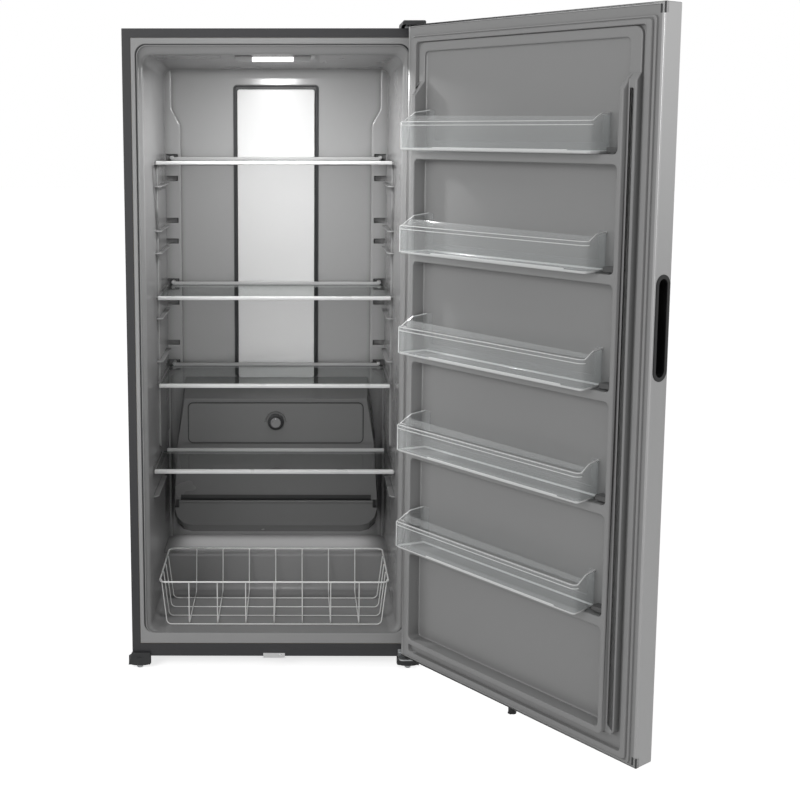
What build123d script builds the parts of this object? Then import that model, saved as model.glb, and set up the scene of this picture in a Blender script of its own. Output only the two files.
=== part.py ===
from build123d import *
import math
import os

os.makedirs("parts", exist_ok=True)

# All sizes are millimetres. Origin: on the floor, on the centre line, under the plane of the
# cabinet's front face. +X is to the right of someone facing the front, +Y goes into the
# cabinet, +Z is up. The door is modelled closed and then turned open about its pin.

# Cabinet
CABINET_WIDTH = 835.0
CABINET_DEPTH = 660.0
CABINET_BOTTOM = 36.2
CABINET_TOP = 1853.0
STEEL = 1.0                    # outer sheet
PAN_STEEL = 1.5                # base sheet
SIDE_BAND = 24.1               # width of the dark front return at the sides
TOP_BAND = 25.0                # and at the top
BASE_BAND = 38.4               # height of the dark band under the door opening
REAR_RETURN = 15.0
FOAM_FRONT = 9.3

# Light frame round the opening, then the dark seal in its groove
FRAME_SIDE = 12.4
FRAME_TOP = 17.5
FRAME_BOTTOM = 33.0
FRAME_DEPTH = 9.0
SEAL_SIDE = 6.5
SEAL_TOP = 5.0
SEAL_FRONT = 3.0
OPENING_RADIUS = 24.0

HALF = CABINET_WIDTH / 2
SHELL_IN = HALF - STEEL
FRAME_OUT = HALF - SIDE_BAND
FRAME_IN = FRAME_OUT - FRAME_SIDE
SEAL_IN = FRAME_IN - SEAL_SIDE
FRAME_OUT_TOP = CABINET_TOP - TOP_BAND
FRAME_IN_TOP = FRAME_OUT_TOP - FRAME_TOP
SEAL_IN_TOP = FRAME_IN_TOP - SEAL_TOP
FRAME_OUT_LOW = CABINET_BOTTOM + BASE_BAND
FRAME_IN_LOW = FRAME_OUT_LOW + FRAME_BOTTOM
FLOOR = FRAME_IN_LOW

# Inner liner
LINER = 2.5
REBATE_DEPTH = 10.0            # straight part behind the front plane
THROAT_DEPTH = 30.0            # where the sloping flange ends
FLANGE_SIDE = 13.0             # how far the flange slopes in at each side
FLANGE_TOP = 24.5              # and down at the top
WALL_TAPER = 3.5               # draft of a side wall, front to back
CEILING_TAPER = 16.0
THROAT_HALF = SEAL_IN - FLANGE_SIDE
THROAT_TOP = SEAL_IN_TOP - FLANGE_TOP
BACK_HALF = THROAT_HALF - WALL_TAPER
BACK_TOP = THROAT_TOP - CEILING_TAPER
BACK_WALL = 545.0
LINER_RADIUS = 22.0
BACK_RADIUS = 20.0
HUMP_FRONT = 362.0
HUMP_TOP = 228.0
HUMP_RADIUS = 12.0

# Rear columns with the pockets that take the shelves' rear hooks
COLUMN_FACE = 527.0
COLUMN_WIDE = 52.0             # a column's width from the side wall
COLUMN_WIDE_TOP = 25.0
COLUMN_WIDE_LOW = 11.0
COLUMN_EDGE = BACK_HALF - COLUMN_WIDE
COLUMN_EDGE_TOP = BACK_HALF - COLUMN_WIDE_TOP
COLUMN_EDGE_LOW = BACK_HALF - COLUMN_WIDE_LOW
COLUMN_FLARE_LOW = BACK_TOP - 175.0
COLUMN_FLARE_HIGH = BACK_TOP - 125.0
COLUMN_FOOT_HIGH = 800.0
COLUMN_FOOT_LOW = 770.0
POCKET_HEIGHTS = (1487.0, 1420.0, 1285.0, 1218.0, 1085.0, 1018.0, 885.0, 818.0)
POCKET_WIDE = 37.0
POCKET_OUTER = BACK_HALF - 4.0
POCKET_INNER = POCKET_OUTER - POCKET_WIDE
POCKET_HIGH = 18.0
POCKET_DEPTH = 25.0

# Side ledges that carry the shelves' edges
LEDGE_WIDE = 19.0
LEDGE_INNER = BACK_HALF - LEDGE_WIDE
LEDGE_FRONT = 250.0
LEDGE_BACK = 490.0
LEDGE_THICK = 6.0
LOW_LEDGE_WIDE = 13.0
LOW_LEDGE_INNER = BACK_HALF - LOW_LEDGE_WIDE
LOW_LEDGE_FRONT = 118.0
LOW_LEDGE_BACK = 345.0

# Shelves: top of the front trim, half width, front and back
SHELF_SIDE_GAP = 10.5
LOW_SHELF_SIDE_GAP = 2.5
SHELF_HALF = BACK_HALF - SHELF_SIDE_GAP
LOW_SHELF_HALF = BACK_HALF - LOW_SHELF_SIDE_GAP
SHELVES = (
    ("shelf_1", 1484.0, SHELF_HALF, 181.0, 523.0, True),
    ("shelf_2", 1082.0, SHELF_HALF, 181.0, 523.0, True),
    ("shelf_3", 815.0, SHELF_HALF, 181.0, 523.0, True),
    ("shelf_4", 571.0, LOW_SHELF_HALF, 101.0, 352.0, False),
)
TRIM_HIGH = 11.0
TRIM_DEEP = 16.0
GLASS = 4.0
GLASS_DROP = 4.0               # from the trim's top to the glass
REAR_RAIL_DEEP = 11.0
REAR_RAIL_ABOVE = 5.0
REAR_RAIL_HALF = SHELF_HALF - 11.5
HOOK_X = SHELF_HALF - 13.5
HOOK_RADIUS = 6.0
HOOK_LONG = 20.0
SEAT_GAP = 0.3                 # under what rests and can move

# Air duct on the back wall
CHANNEL_WIDTH = 273.6
CHANNEL_TOP = BACK_TOP - 47.0
DUCT_WIDTH = 247.0
DUCT_TOP = CHANNEL_TOP - 15.0
DUCT_RADIUS = 8.0
DUCT_DEPTH = 14.0
CHANNEL_THICK = 4.0

# Evaporator cover
EVAP_FACE = 390.0
EVAP_TOP = 727.0
EVAP_BACK_HALF = BACK_HALF - 22.0
EVAP_TOP_HALF = EVAP_BACK_HALF - 46.0
EVAP_MID = 577.0
EVAP_MID_HALF = EVAP_BACK_HALF - 22.0
EVAP_LOW = 400.0
EVAP_LOW_HALF = EVAP_BACK_HALF - 11.0
EVAP_BOTTOM = 280.0
EVAP_ROUND = 30.0
EVAP_CORNER = 55.0
EVAP_BACK_TOP = 768.0
EVAP_WALL = 2.5
PANEL_WIDTH = 2 * (EVAP_TOP_HALF - 13.0)
PANEL_LOW = 585.0
PANEL_HIGH = 712.0
PANEL_RAISE = 2.0
PANEL_RADIUS = 14.0
SLOT_LOW = 394.0
SLOT_HIGH = 412.0
SLOT_HALF = EVAP_MID_HALF - 8.0
DIAL_Z = 653.0
DIAL_RADIUS = 26.0
DIAL_CAP_RADIUS = 17.0
DIAL_SHAFT = 3.0
RUNNING = 0.05                 # radial clearance of a shaft in its bore

# Evaporator and fan behind the cover
COIL_HALF = 230.0
COIL_FRONT = 430.0
COIL_BACK = 520.0
COIL_LOW = 318.0
COIL_HIGH = 560.0
COIL_TUBE = 4.0
FIN_COUNT = 24
FIN_THICK = 0.8
FAN_Z = 655.0
FAN_RADIUS = 52.0
FAN_FRONT = 450.0
FAN_BACK = 472.0
FAN_SHAFT = 3.0

# Light under the ceiling
LIGHT_HALF = 107.0
LIGHT_FRONT = 36.0
LIGHT_BACK = 66.0
LIGHT_LOW = THROAT_TOP - 15.0
LENS_HALF = 58.0
LENS_LOW = LIGHT_LOW - 2.5

# Wire basket
BASKET_HALF = BACK_HALF - 17.0
BASKET_FRONT = 51.0
BASKET_BACK = 356.5
BASKET_RIM = 244.0
BASKET_FLOOR_HALF = BASKET_HALF - 21.0
BASKET_FLOOR_FRONT = 57.0
BASKET_FLOOR_BACK = 330.0
RIM_WIRE = 2.5
WIRE = 1.6
LONG_WIRES = 7
LONG_WIRE_STEP = 84.5
CROSS_WIRES = (62.0, 130.0, 200.0, 275.0)
BASKET_CORNER = 20.0
WIRE_BEND = 15.0

# Machine compartment
MACHINE_FRONT = 400.0
MACHINE_TOP = 190.0
COMPRESSOR_X = -225.0
COMPRESSOR_Y = 530.0
COMPRESSOR_RADIUS = 78.0
COMPRESSOR_LOW = 50.0
COMPRESSOR_HIGH = 176.0
CONDENSER_TUBE = 3.0
CONDENSER_LAYERS = 4

# Feet and rollers
FOOT_X = HALF - 21.5
FOOT_Y = 5.0
FOOT_HALF_WIDE = 33.0
FOOT_HALF_DEEP = 17.0
FOOT_LOW = 9.7
FOOT_APRON_TOP = 49.0
FOOT_APRON_TOP_RIGHT = 34.0
NUB_RADIUS = 9.0
STUD_RADIUS = 5.0
NUT_RADIUS = 13.0
NUT_HIGH = 7.0
FOOT_SEAT = 6.0                # height of the seat for the nut inside the foot cover
ROLLER_RADIUS = 18.0
ROLLER_WIDE = 22.0
ROLLER_X = HALF - 37.5
ROLLER_Y = 620.0
AXLE_RADIUS = 4.0

# Door, in its closed place
DOOR_OPEN = 127.64             # degrees, as shown
PIN_X = HALF - 14.5
PIN_Y = -42.0
PIN_RADIUS = 5.0
DOOR_HINGE_EDGE = HALF
DOOR_FREE_EDGE = 1.5 - HALF
DOOR_WIDTH = DOOR_HINGE_EDGE - DOOR_FREE_EDGE
DOOR_INNER = -12.0
DOOR_THICK = 65.0
DOOR_LOW = 60.7
DOOR_HIGH = CABINET_TOP + 4.4
DOOR_SKIN = 1.2
DOOR_CORNER = 10.0
CAP_DEPTH = 5.0
CAP_PROUD = 0.9
DOOR_LINER = 2.0

# Door liner: heights above the door's inner face, places across from the hinge edge, and up
TOP_RIM_HIGH = 8.0             # low rim all round the top panel
STEP_HIGH = 23.4
RAIL_HIGH = 42.0
RECESS_SINK = 3.0              # the panels lie a little below the inner face
FORM_U0 = 53.7
FORM_U1 = DOOR_WIDTH - 52.2
FORM_Z0 = 131.0
FORM_Z1 = DOOR_HIGH - 49.4
FORM_RADIUS = 20.0
RAIL_U0 = 61.0
RAIL_U1 = DOOR_WIDTH - 73.8
RAIL_RADIUS = 13.0
RAIL_TOP = DOOR_HIGH - 190.4              # where the rails begin to slope down
SLOPE_END = DOOR_HIGH - 152.4             # where the slope meets the low rim
RECESS_U0 = 74.6
RECESS_U1 = DOOR_WIDTH - 86.5
RECESS_Z0 = 146.0
RECESS_Z1 = DOOR_HIGH - 74.4
RECESS_RADIUS = 12.0
FORM_ROUND = 4.0
GROOVE_U1 = DOOR_WIDTH - 62.5
GROOVE_U0 = GROOVE_U1 - 7.0
GROOVE_DEEP = 4.0
GASKET_U0 = 20.0
GASKET_U1 = DOOR_WIDTH - 18.5
GASKET_Z0 = 68.0
GASKET_Z1 = DOOR_HIGH - 29.4
GASKET_WIDE = 24.0
GASKET_THICK = 11.7
GASKET_GAP = 0.4               # between the gasket and the top of the raised form
GRIP_LOW = 1000.0
GRIP_HIGH = 1249.0
GRIP_T0 = 4.5
GRIP_T1 = 56.0
GRIP_RIM = 10.0
GRIP_DEPTH = 32.0
GRIP_WALL = 2.0

# Door bins
BIN_RIMS = (1598.0, 1322.0, 1046.0, 774.0, 499.0)
BIN_FRONT_U0 = 62.0
BIN_FRONT_U1 = DOOR_WIDTH - 129.5
BIN_BEND_U0 = 78.0             # the hinge end wall bends here to clear the rail
BIN_BEND_H = 42.0
BIN_BACK_U0 = 88.0
BIN_BACK_U1 = DOOR_WIDTH - 140.5
BIN_H0 = -1.5
BIN_H1 = 86.5
BIN_HIGH = 77.0
RIB_HIGH = 24.0                # cross rib under a bin
RIB_LOW = BIN_HIGH + RIB_HIGH  # down from the bin's rim
BIN_RISE = 31.0
BIN_RISE_FREE = 18.0
BIN_WALL = 2.5
BIN_CORNER = 14.0
BIN_LIP = 12.0
BIN_BACK_HIGH = 25.0           # the back wall is low between its ends
BIN_BACK_END = 22.0

# Comb brackets on the recess walls
COMB_LOW = BIN_HIGH - 3.0      # below the bin's rim
COMB_HIGH = 21.0               # above it
COMB_PLATE = 1.5
COMB_BAR = 3.0
COMB_BAR_H0 = 30.0
COMB_BAR_H1 = 38.0
COMB_RIB = 5.0
COMB_RIBS = 5
COMB_GAP = 0.3                 # from the panel's round corners

# Hinges and lock
HINGE_X0 = HALF - 51.5
HINGE_X1 = HALF - 1.5
HINGE_FRONT = -56.0
LOW_HINGE = 45.0
LOCK_U = DOOR_WIDTH / 2 + 0.25
LOCK_RADIUS = 11.0
LOCK_T = 22.0
LOCK_LOW = 37.0

REBATE_HALF = SEAL_IN - LINER
REBATE_TOP = SEAL_IN_TOP - LINER
BACK_PANEL_FRONT = CABINET_DEPTH - 2.2
DOOR_OUTER = DOOR_INNER - DOOR_THICK


def block(x0, x1, y0, y1, z0, z1):
    """Box between the given limits."""
    return Pos((x0 + x1) / 2, (y0 + y1) / 2, (z0 + z1) / 2) * Box(x1 - x0, y1 - y0, z1 - z0)


def front_slab(x0, x1, z0, z1, y0, y1, radius):
    """Slab from y0 to y1 that is a rounded rectangle seen from the front."""
    outline = RectangleRounded(x1 - x0, z1 - z0, radius)
    return Pos((x0 + x1) / 2, y1, (z0 + z1) / 2) * Rot(90, 0, 0) * extrude(outline, y1 - y0)


def front_outline(x0, x1, z0, z1, y, radius):
    """Rounded rectangle in the plane at y, for a loft."""
    place = Plane(origin=((x0 + x1) / 2, y, (z0 + z1) / 2), x_dir=(1, 0, 0), z_dir=(0, -1, 0))
    return place * RectangleRounded(x1 - x0, z1 - z0, radius)


def front_prism(points, y0, y1):
    """Prism of (x, z) points from y0 to y1."""
    face = Plane(origin=(0, y0, 0), x_dir=(1, 0, 0), z_dir=(0, -1, 0)) * Polygon(*points, align=None)
    return extrude(face, y1 - y0, dir=(0, 1, 0))


def side_prism(points, x0, x1):
    """Prism of (y, z) points from x0 to x1."""
    face = Plane(origin=(x0, 0, 0), x_dir=(0, 1, 0), z_dir=(1, 0, 0)) * Polygon(*points, align=None)
    return extrude(face, x1 - x0, dir=(1, 0, 0))


def rod(start, end, radius):
    """Round bar between two points."""
    length = math.dist(start, end)
    middle = [(a + b) / 2 for a, b in zip(start, end)]
    direction = [b - a for a, b in zip(start, end)]
    place = Plane(origin=middle, z_dir=direction)
    return place * Cylinder(radius, length)


def mirrored(shape):
    """The shape and its mirror image about the centre plane, joined."""
    return shape + mirror(shape, Plane.YZ)


def wire_path(points, bend, radius):
    """Round wire along straight lengths joined by bends."""
    path = FilletPolyline(*points, radius=bend)
    start = path @ 0
    ring = Plane(origin=start, z_dir=path % 0) * Circle(radius)
    return sweep(ring, path)


def save(name, shape):
    """Write one piece to its own file, as one solid or several."""
    solids = shape.solids()
    if not solids:
        raise ValueError(name + " is empty")
    piece = solids[0] if len(solids) == 1 else Compound(children=list(solids))
    export_step(piece, os.path.join("parts", name + ".step"))


def cabinet_shell():
    """Painted side and top sheet with its front and rear returns."""
    outer = block(-HALF, HALF, 0, CABINET_DEPTH, CABINET_BOTTOM, CABINET_TOP)
    inner = block(-SHELL_IN, SHELL_IN, -1, CABINET_DEPTH + 1, 0, CABINET_TOP - STEEL)
    wrap = outer - inner
    front = block(-SHELL_IN, SHELL_IN, 0, STEEL, CABINET_BOTTOM, CABINET_TOP - STEEL)
    front -= block(-FRAME_OUT, FRAME_OUT, -1, STEEL + 1, 0, FRAME_OUT_TOP)
    rear = block(-SHELL_IN, SHELL_IN, CABINET_DEPTH - STEEL, CABINET_DEPTH, MACHINE_TOP,
                 CABINET_TOP - STEEL)
    rear -= block(-SHELL_IN + REAR_RETURN, SHELL_IN - REAR_RETURN, CABINET_DEPTH - 3,
                  CABINET_DEPTH + 1, 0, CABINET_TOP - STEEL - REAR_RETURN)
    return wrap + front + rear


def cavity(grow):
    """Space inside the liner, grown outwards by the given amount."""
    g = grow
    rebate = front_slab(-REBATE_HALF - g, REBATE_HALF + g, FRAME_IN_LOW - g, REBATE_TOP + g,
                        -1, REBATE_DEPTH, OPENING_RADIUS + g)
    throat = loft([
        front_outline(-REBATE_HALF - g, REBATE_HALF + g, FRAME_IN_LOW - g, REBATE_TOP + g,
                      REBATE_DEPTH, OPENING_RADIUS + g),
        front_outline(-THROAT_HALF - g, THROAT_HALF + g, FLOOR - g, THROAT_TOP + g,
                      THROAT_DEPTH, LINER_RADIUS + g),
    ], ruled=True)
    corner = BACK_WALL - BACK_RADIUS
    room = loft([
        front_outline(-THROAT_HALF - g, THROAT_HALF + g, FLOOR - g, THROAT_TOP + g,
                      THROAT_DEPTH, LINER_RADIUS + g),
        front_outline(-BACK_HALF - g, BACK_HALF + g, FLOOR - g, BACK_TOP + g,
                      corner + g, LINER_RADIUS + g),
    ], ruled=True)
    for near, far, step in ((0.0, 0.7, 0.3), (0.7, 1.0, 1.0)):
        inset = 0.0 if near == 0.0 else 0.3 * BACK_RADIUS
        room += loft([
            front_outline(-BACK_HALF - g + inset, BACK_HALF + g - inset, FLOOR - g,
                          BACK_TOP + g - inset, corner + g + near * BACK_RADIUS, LINER_RADIUS + g),
            front_outline(-BACK_HALF - g + step * BACK_RADIUS, BACK_HALF + g - step * BACK_RADIUS,
                          FLOOR - g, BACK_TOP + g - step * BACK_RADIUS,
                          corner + g + far * BACK_RADIUS, LINER_RADIUS + g),
        ], ruled=True)
    space = rebate + throat + room
    hump = side_prism([(HUMP_FRONT + g, 0), (BACK_WALL + 40, 0), (BACK_WALL + 40, HUMP_TOP - g),
                       (HUMP_FRONT + g, HUMP_TOP - g)], -HALF - 32.5, HALF + 32.5)
    hump = fillet(hump.edges().filter_by(Axis.X).group_by(Axis.Z)[-1].sort_by(Axis.Y)[0:1],
                  HUMP_RADIUS)
    space -= hump
    edge = COLUMN_EDGE + g
    column = front_prism([
        (COLUMN_EDGE_TOP + g, CABINET_TOP + 47), (COLUMN_EDGE_TOP + g, COLUMN_FLARE_HIGH),
        (edge, COLUMN_FLARE_LOW), (edge, COLUMN_FOOT_HIGH), (COLUMN_EDGE_LOW + g, COLUMN_FOOT_LOW),
        (COLUMN_EDGE_LOW + g, 60), (HALF - 17.5, 60), (HALF - 17.5, CABINET_TOP + 47),
    ], COLUMN_FACE + g, BACK_WALL + 40)
    space -= mirrored(column)
    for height in POCKET_HEIGHTS:
        pocket = block(POCKET_INNER - g, POCKET_OUTER + g, COLUMN_FACE - 2 + g,
                       COLUMN_FACE + POCKET_DEPTH + g, height - POCKET_HIGH / 2 - g,
                       height + POCKET_HIGH / 2 + g)
        space += mirrored(pocket)
    return space


def ledges():
    """Ribs on the side walls that carry the shelves' edges."""
    ribs = None
    for height in POCKET_HEIGHTS:
        shelf_top = height - (POCKET_HEIGHTS[0] - SHELVES[0][1])
        top = shelf_top - GLASS_DROP - GLASS - SEAT_GAP
        rib = block(LEDGE_INNER, THROAT_HALF, LEDGE_FRONT, LEDGE_BACK, top - LEDGE_THICK, top)
        ribs = rib if ribs is None else ribs + rib
    low_top = SHELVES[3][1] - GLASS_DROP - GLASS - SEAT_GAP
    for top in (low_top, low_top - 75.0):
        rib = block(LOW_LEDGE_INNER, THROAT_HALF + 0.5, LOW_LEDGE_FRONT, LOW_LEDGE_BACK,
                    top - LEDGE_THICK, top)
        ribs += rib
    return mirrored(ribs)


def inner_liner(space, grown):
    """One thermoformed liner with its columns, pockets, ledges and machine hump."""
    walls = grown - space
    walls -= block(-HALF, HALF, -5, 0.5, 0, CABINET_TOP)
    ribs = ledges() & grown
    return walls + ribs


def cabinet_foam(grown):
    """Foamed-in insulation between the liner and the outer sheets."""
    body = block(-SHELL_IN, SHELL_IN, PAN_STEEL, BACK_PANEL_FRONT, CABINET_BOTTOM + PAN_STEEL,
                 CABINET_TOP - STEEL)
    body -= block(-FRAME_OUT, FRAME_OUT, 0, FOAM_FRONT, FRAME_OUT_LOW, FRAME_OUT_TOP)
    body -= block(-SHELL_IN - 1, SHELL_IN + 1, MACHINE_FRONT, CABINET_DEPTH + 1, 0, MACHINE_TOP)
    return body - grown


def front_frame():
    """Light frame round the door opening."""
    ring = block(-FRAME_OUT, FRAME_OUT, 0, FRAME_DEPTH, FRAME_OUT_LOW, FRAME_OUT_TOP)
    ring -= front_slab(-FRAME_IN, FRAME_IN, FRAME_IN_LOW - LINER, FRAME_IN_TOP, -1,
                       FRAME_DEPTH + 1, OPENING_RADIUS + SEAL_TOP)
    return ring


def frame_seal():
    """Dark strip in the groove between the frame and the liner."""
    ring = front_slab(-FRAME_IN, FRAME_IN, FRAME_IN_LOW - LINER, FRAME_IN_TOP, SEAL_FRONT,
                      FRAME_DEPTH, OPENING_RADIUS + SEAL_TOP)
    ring -= front_slab(-SEAL_IN, SEAL_IN, FRAME_IN_LOW - LINER, SEAL_IN_TOP, -1,
                       FRAME_DEPTH + 1, OPENING_RADIUS + LINER)
    return ring


def base_pan():
    """Bottom sheet with the dark front band."""
    sheet = block(-SHELL_IN + 0.1, SHELL_IN - 0.1, STEEL, MACHINE_FRONT + 1.2, CABINET_BOTTOM,
                  CABINET_BOTTOM + PAN_STEEL)
    band = block(-FRAME_OUT, FRAME_OUT, 0, PAN_STEEL, CABINET_BOTTOM, FRAME_OUT_LOW)
    return sheet + band


def light():
    """Housing and lens of the ceiling light."""
    slope = (THROAT_TOP - BACK_TOP) / (BACK_WALL - BACK_RADIUS - THROAT_DEPTH)
    front_top = THROAT_TOP - slope * (LIGHT_FRONT - THROAT_DEPTH)
    back_top = THROAT_TOP - slope * (LIGHT_BACK - THROAT_DEPTH)
    housing = side_prism([
        (LIGHT_FRONT + 2, LIGHT_LOW), (LIGHT_BACK - 6, LIGHT_LOW), (LIGHT_BACK, back_top),
        (LIGHT_FRONT, front_top),
    ], -LIGHT_HALF, LIGHT_HALF)
    housing = Pos(0, 0, -0.1) * housing
    lens = block(-LENS_HALF, LENS_HALF, LIGHT_FRONT + 3.5, LIGHT_BACK - 9, LENS_LOW,
                 LIGHT_LOW + 4)
    lens = fillet(lens.edges().filter_by(Axis.Z), 3)
    return housing - lens, lens


def duct():
    """Dark channel on the back wall and the light panel that covers the duct."""
    low = EVAP_BACK_TOP + 1
    channel = front_slab(-CHANNEL_WIDTH / 2, CHANNEL_WIDTH / 2, low, CHANNEL_TOP,
                         BACK_WALL - CHANNEL_THICK, BACK_WALL, DUCT_RADIUS + 4)
    channel -= front_slab(-DUCT_WIDTH / 2 + 10, DUCT_WIDTH / 2 - 10, low + 20, CHANNEL_TOP - 25,
                          BACK_WALL - 2, BACK_WALL + 1, DUCT_RADIUS)
    front = BACK_WALL - CHANNEL_THICK - DUCT_DEPTH
    panel = front_slab(-DUCT_WIDTH / 2, DUCT_WIDTH / 2, low, DUCT_TOP, front,
                       BACK_WALL - CHANNEL_THICK, DUCT_RADIUS)
    panel -= front_slab(-DUCT_WIDTH / 2 + 2.5, DUCT_WIDTH / 2 - 2.5, low + 2.5, DUCT_TOP - 2.5,
                        front + 2.5, BACK_WALL, DUCT_RADIUS - 2)
    return channel, panel


def evaporator_solid(grow):
    """Outer form of the evaporator cover, made smaller by a negative amount."""
    g = grow
    c = EVAP_CORNER

    def outline(y, top_half, top, mid_half, low_half, bottom):
        half = low_half + g
        base = bottom - g
        low_points = [
            (half, base + c), (half - c * 0.13, base + c * 0.5), (half - c * 0.5, base + c * 0.13),
            (half - c, base),
        ]
        right = [(top_half + g, top + g), (mid_half + g, EVAP_MID), (half, EVAP_LOW)] + low_points
        left = [(-x, z) for x, z in reversed(right)]
        place = Plane(origin=(0, y, 0), x_dir=(1, 0, 0), z_dir=(0, -1, 0))
        return place * Polygon(*(right + left), align=None)

    return loft([
        outline(EVAP_FACE - g, EVAP_TOP_HALF, EVAP_TOP, EVAP_MID_HALF, EVAP_LOW_HALF,
                EVAP_BOTTOM + EVAP_ROUND),
        outline(EVAP_FACE + EVAP_ROUND, EVAP_TOP_HALF + 3, EVAP_TOP + 8, EVAP_MID_HALF + 3,
                EVAP_LOW_HALF + 3, EVAP_BOTTOM),
        outline(BACK_WALL - 0.3, EVAP_TOP_HALF + 10, EVAP_BACK_TOP, EVAP_MID_HALF + 12,
                EVAP_BACK_HALF, EVAP_BOTTOM),
    ], ruled=True)


def evaporator_cover():
    """Moulded cover with its raised panel, dial seat and intake slot."""
    body = evaporator_solid(0)
    inner = evaporator_solid(-EVAP_WALL)
    inner += Pos(0, 2 * EVAP_WALL, 0) * inner
    shell = body - inner
    panel = front_slab(-PANEL_WIDTH / 2, PANEL_WIDTH / 2, PANEL_LOW, PANEL_HIGH,
                       EVAP_FACE - PANEL_RAISE, EVAP_FACE + 0.5, PANEL_RADIUS)
    shell += panel
    shell -= block(-SLOT_HALF, SLOT_HALF, EVAP_FACE - 10, EVAP_FACE + 8, SLOT_LOW, SLOT_HIGH)
    shell -= rod((0, EVAP_FACE - 20, DIAL_Z), (0, EVAP_FACE + 20, DIAL_Z), DIAL_SHAFT + 0.5)
    keep = block(-COLUMN_EDGE_LOW + 1, COLUMN_EDGE_LOW - 1, 0, COLUMN_FACE - 0.3, 0, CABINET_TOP)
    keep += block(-COLUMN_EDGE + 1, COLUMN_EDGE - 1, 0, BACK_WALL - 0.3, 0, CABINET_TOP)
    keep += block(-COLUMN_EDGE_LOW + 1, COLUMN_EDGE_LOW - 1, 0, BACK_WALL - 0.3, 0,
                  COLUMN_FOOT_LOW)
    return shell & keep


def evaporator_coil():
    """Serpentine tube through a stack of fins."""
    coil = None
    rows = 7
    step = (COIL_HIGH - COIL_LOW - 40) / (rows - 1)
    middle = (COIL_FRONT + COIL_BACK) / 2
    for row in range(rows):
        z = COIL_LOW + 20 + row * step
        tube = rod((-COIL_HALF, middle, z), (COIL_HALF, middle, z), COIL_TUBE)
        coil = tube if coil is None else coil + tube
    for row in range(rows - 1):
        z = COIL_LOW + 20 + (row + 0.5) * step
        side = 1 if row % 2 else -1
        ring = Pos(side * COIL_HALF, middle, z) * Rot(90, 0, 0) * Torus(step / 2, COIL_TUBE)
        half = block(0, side * 100, 0, 1000, 0, 2000) if side > 0 else block(-100, 0, 0, 1000, 0, 2000)
        half = Pos(side * COIL_HALF, 0, 0) * half
        coil += ring & half
    for index in range(FIN_COUNT):
        x = -COIL_HALF + 20 + index * (2 * COIL_HALF - 40) / (FIN_COUNT - 1)
        coil += block(x - FIN_THICK / 2, x + FIN_THICK / 2, COIL_FRONT, COIL_BACK, COIL_LOW,
                      COIL_HIGH)
    for x in (-COIL_HALF + 8, COIL_HALF - 8):
        coil += block(x - 1, x + 1, COIL_FRONT, BACK_WALL - 0.3, COIL_LOW, COIL_HIGH)
    return coil


def evaporator_fan():
    """Motor on its bracket, and the turning blades."""
    motor = rod((0, FAN_BACK + 4, FAN_Z), (0, BACK_WALL - 12, FAN_Z), 24)
    plate = block(-70, 70, BACK_WALL - 12, BACK_WALL - 0.3, FAN_Z - 40, FAN_Z + 40)
    motor += plate
    motor += rod((0, FAN_FRONT - 1, FAN_Z), (0, FAN_BACK + 6, FAN_Z), FAN_SHAFT)
    hub = rod((0, FAN_FRONT, FAN_Z), (0, FAN_BACK, FAN_Z), 14)
    blade = Pos(0, (FAN_FRONT + FAN_BACK) / 2, FAN_Z) * Rot(0, 0, 35) * block(-14, 14, -1, 1, 11, FAN_RADIUS)
    blades = hub
    for index in range(5):
        turn = Pos(0, 0, FAN_Z) * Rot(0, 72 * index, 0) * Pos(0, 0, -FAN_Z)
        blades += turn * blade
    blades -= rod((0, FAN_FRONT - 5, FAN_Z), (0, FAN_BACK + 5, FAN_Z), FAN_SHAFT + RUNNING)
    return motor, blades


def control():
    """Thermostat behind the cover and the dial in front of it."""
    body = block(-26, 26, EVAP_FACE + EVAP_WALL + 0.2, EVAP_FACE + 34, DIAL_Z - 22, DIAL_Z + 22)
    bore = rod((0, EVAP_FACE, DIAL_Z), (0, EVAP_FACE + 24, DIAL_Z), DIAL_SHAFT + RUNNING)
    body -= bore
    seat = EVAP_FACE - PANEL_RAISE - SEAT_GAP
    dial = rod((0, seat - 9, DIAL_Z), (0, seat, DIAL_Z), DIAL_RADIUS)
    dial = chamfer(dial.edges().sort_by(Axis.Y)[0:1], 2)
    dial += rod((0, seat - 16, DIAL_Z), (0, seat - 9, DIAL_Z), DIAL_CAP_RADIUS)
    dial += rod((0, seat, DIAL_Z), (0, EVAP_FACE + 22, DIAL_Z), DIAL_SHAFT)
    return body, dial


def shelf(top, half, front, back, hooked):
    """Glass plate, and its front trim and rear rail as one moulded pair."""
    glass_top = top - GLASS_DROP
    glass_low = glass_top - GLASS
    glass = block(-half + 2, half - 2, front + 3, back - 3, glass_low, glass_top)
    trim = block(-half, half, front, front + TRIM_DEEP, top - TRIM_HIGH, top)
    trim = fillet(trim.edges().filter_by(Axis.X).group_by(Axis.Y)[0], 2.5)
    rail_half = REAR_RAIL_HALF if hooked else half - 12
    rail = block(-rail_half, rail_half, back - REAR_RAIL_DEEP, back, glass_low - 1.0,
                 top + REAR_RAIL_ABOVE)
    rail = fillet(rail.edges().filter_by(Axis.X).group_by(Axis.Z)[-1], 2)
    if hooked:
        z = top + (POCKET_HEIGHTS[0] - SHELVES[0][1])
        pin = rod((HOOK_X, back - REAR_RAIL_DEEP, z), (HOOK_X, back + HOOK_LONG, z), HOOK_RADIUS)
        rail += mirrored(pin)
    trims = trim + rail
    return glass, trims - glass


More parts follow.
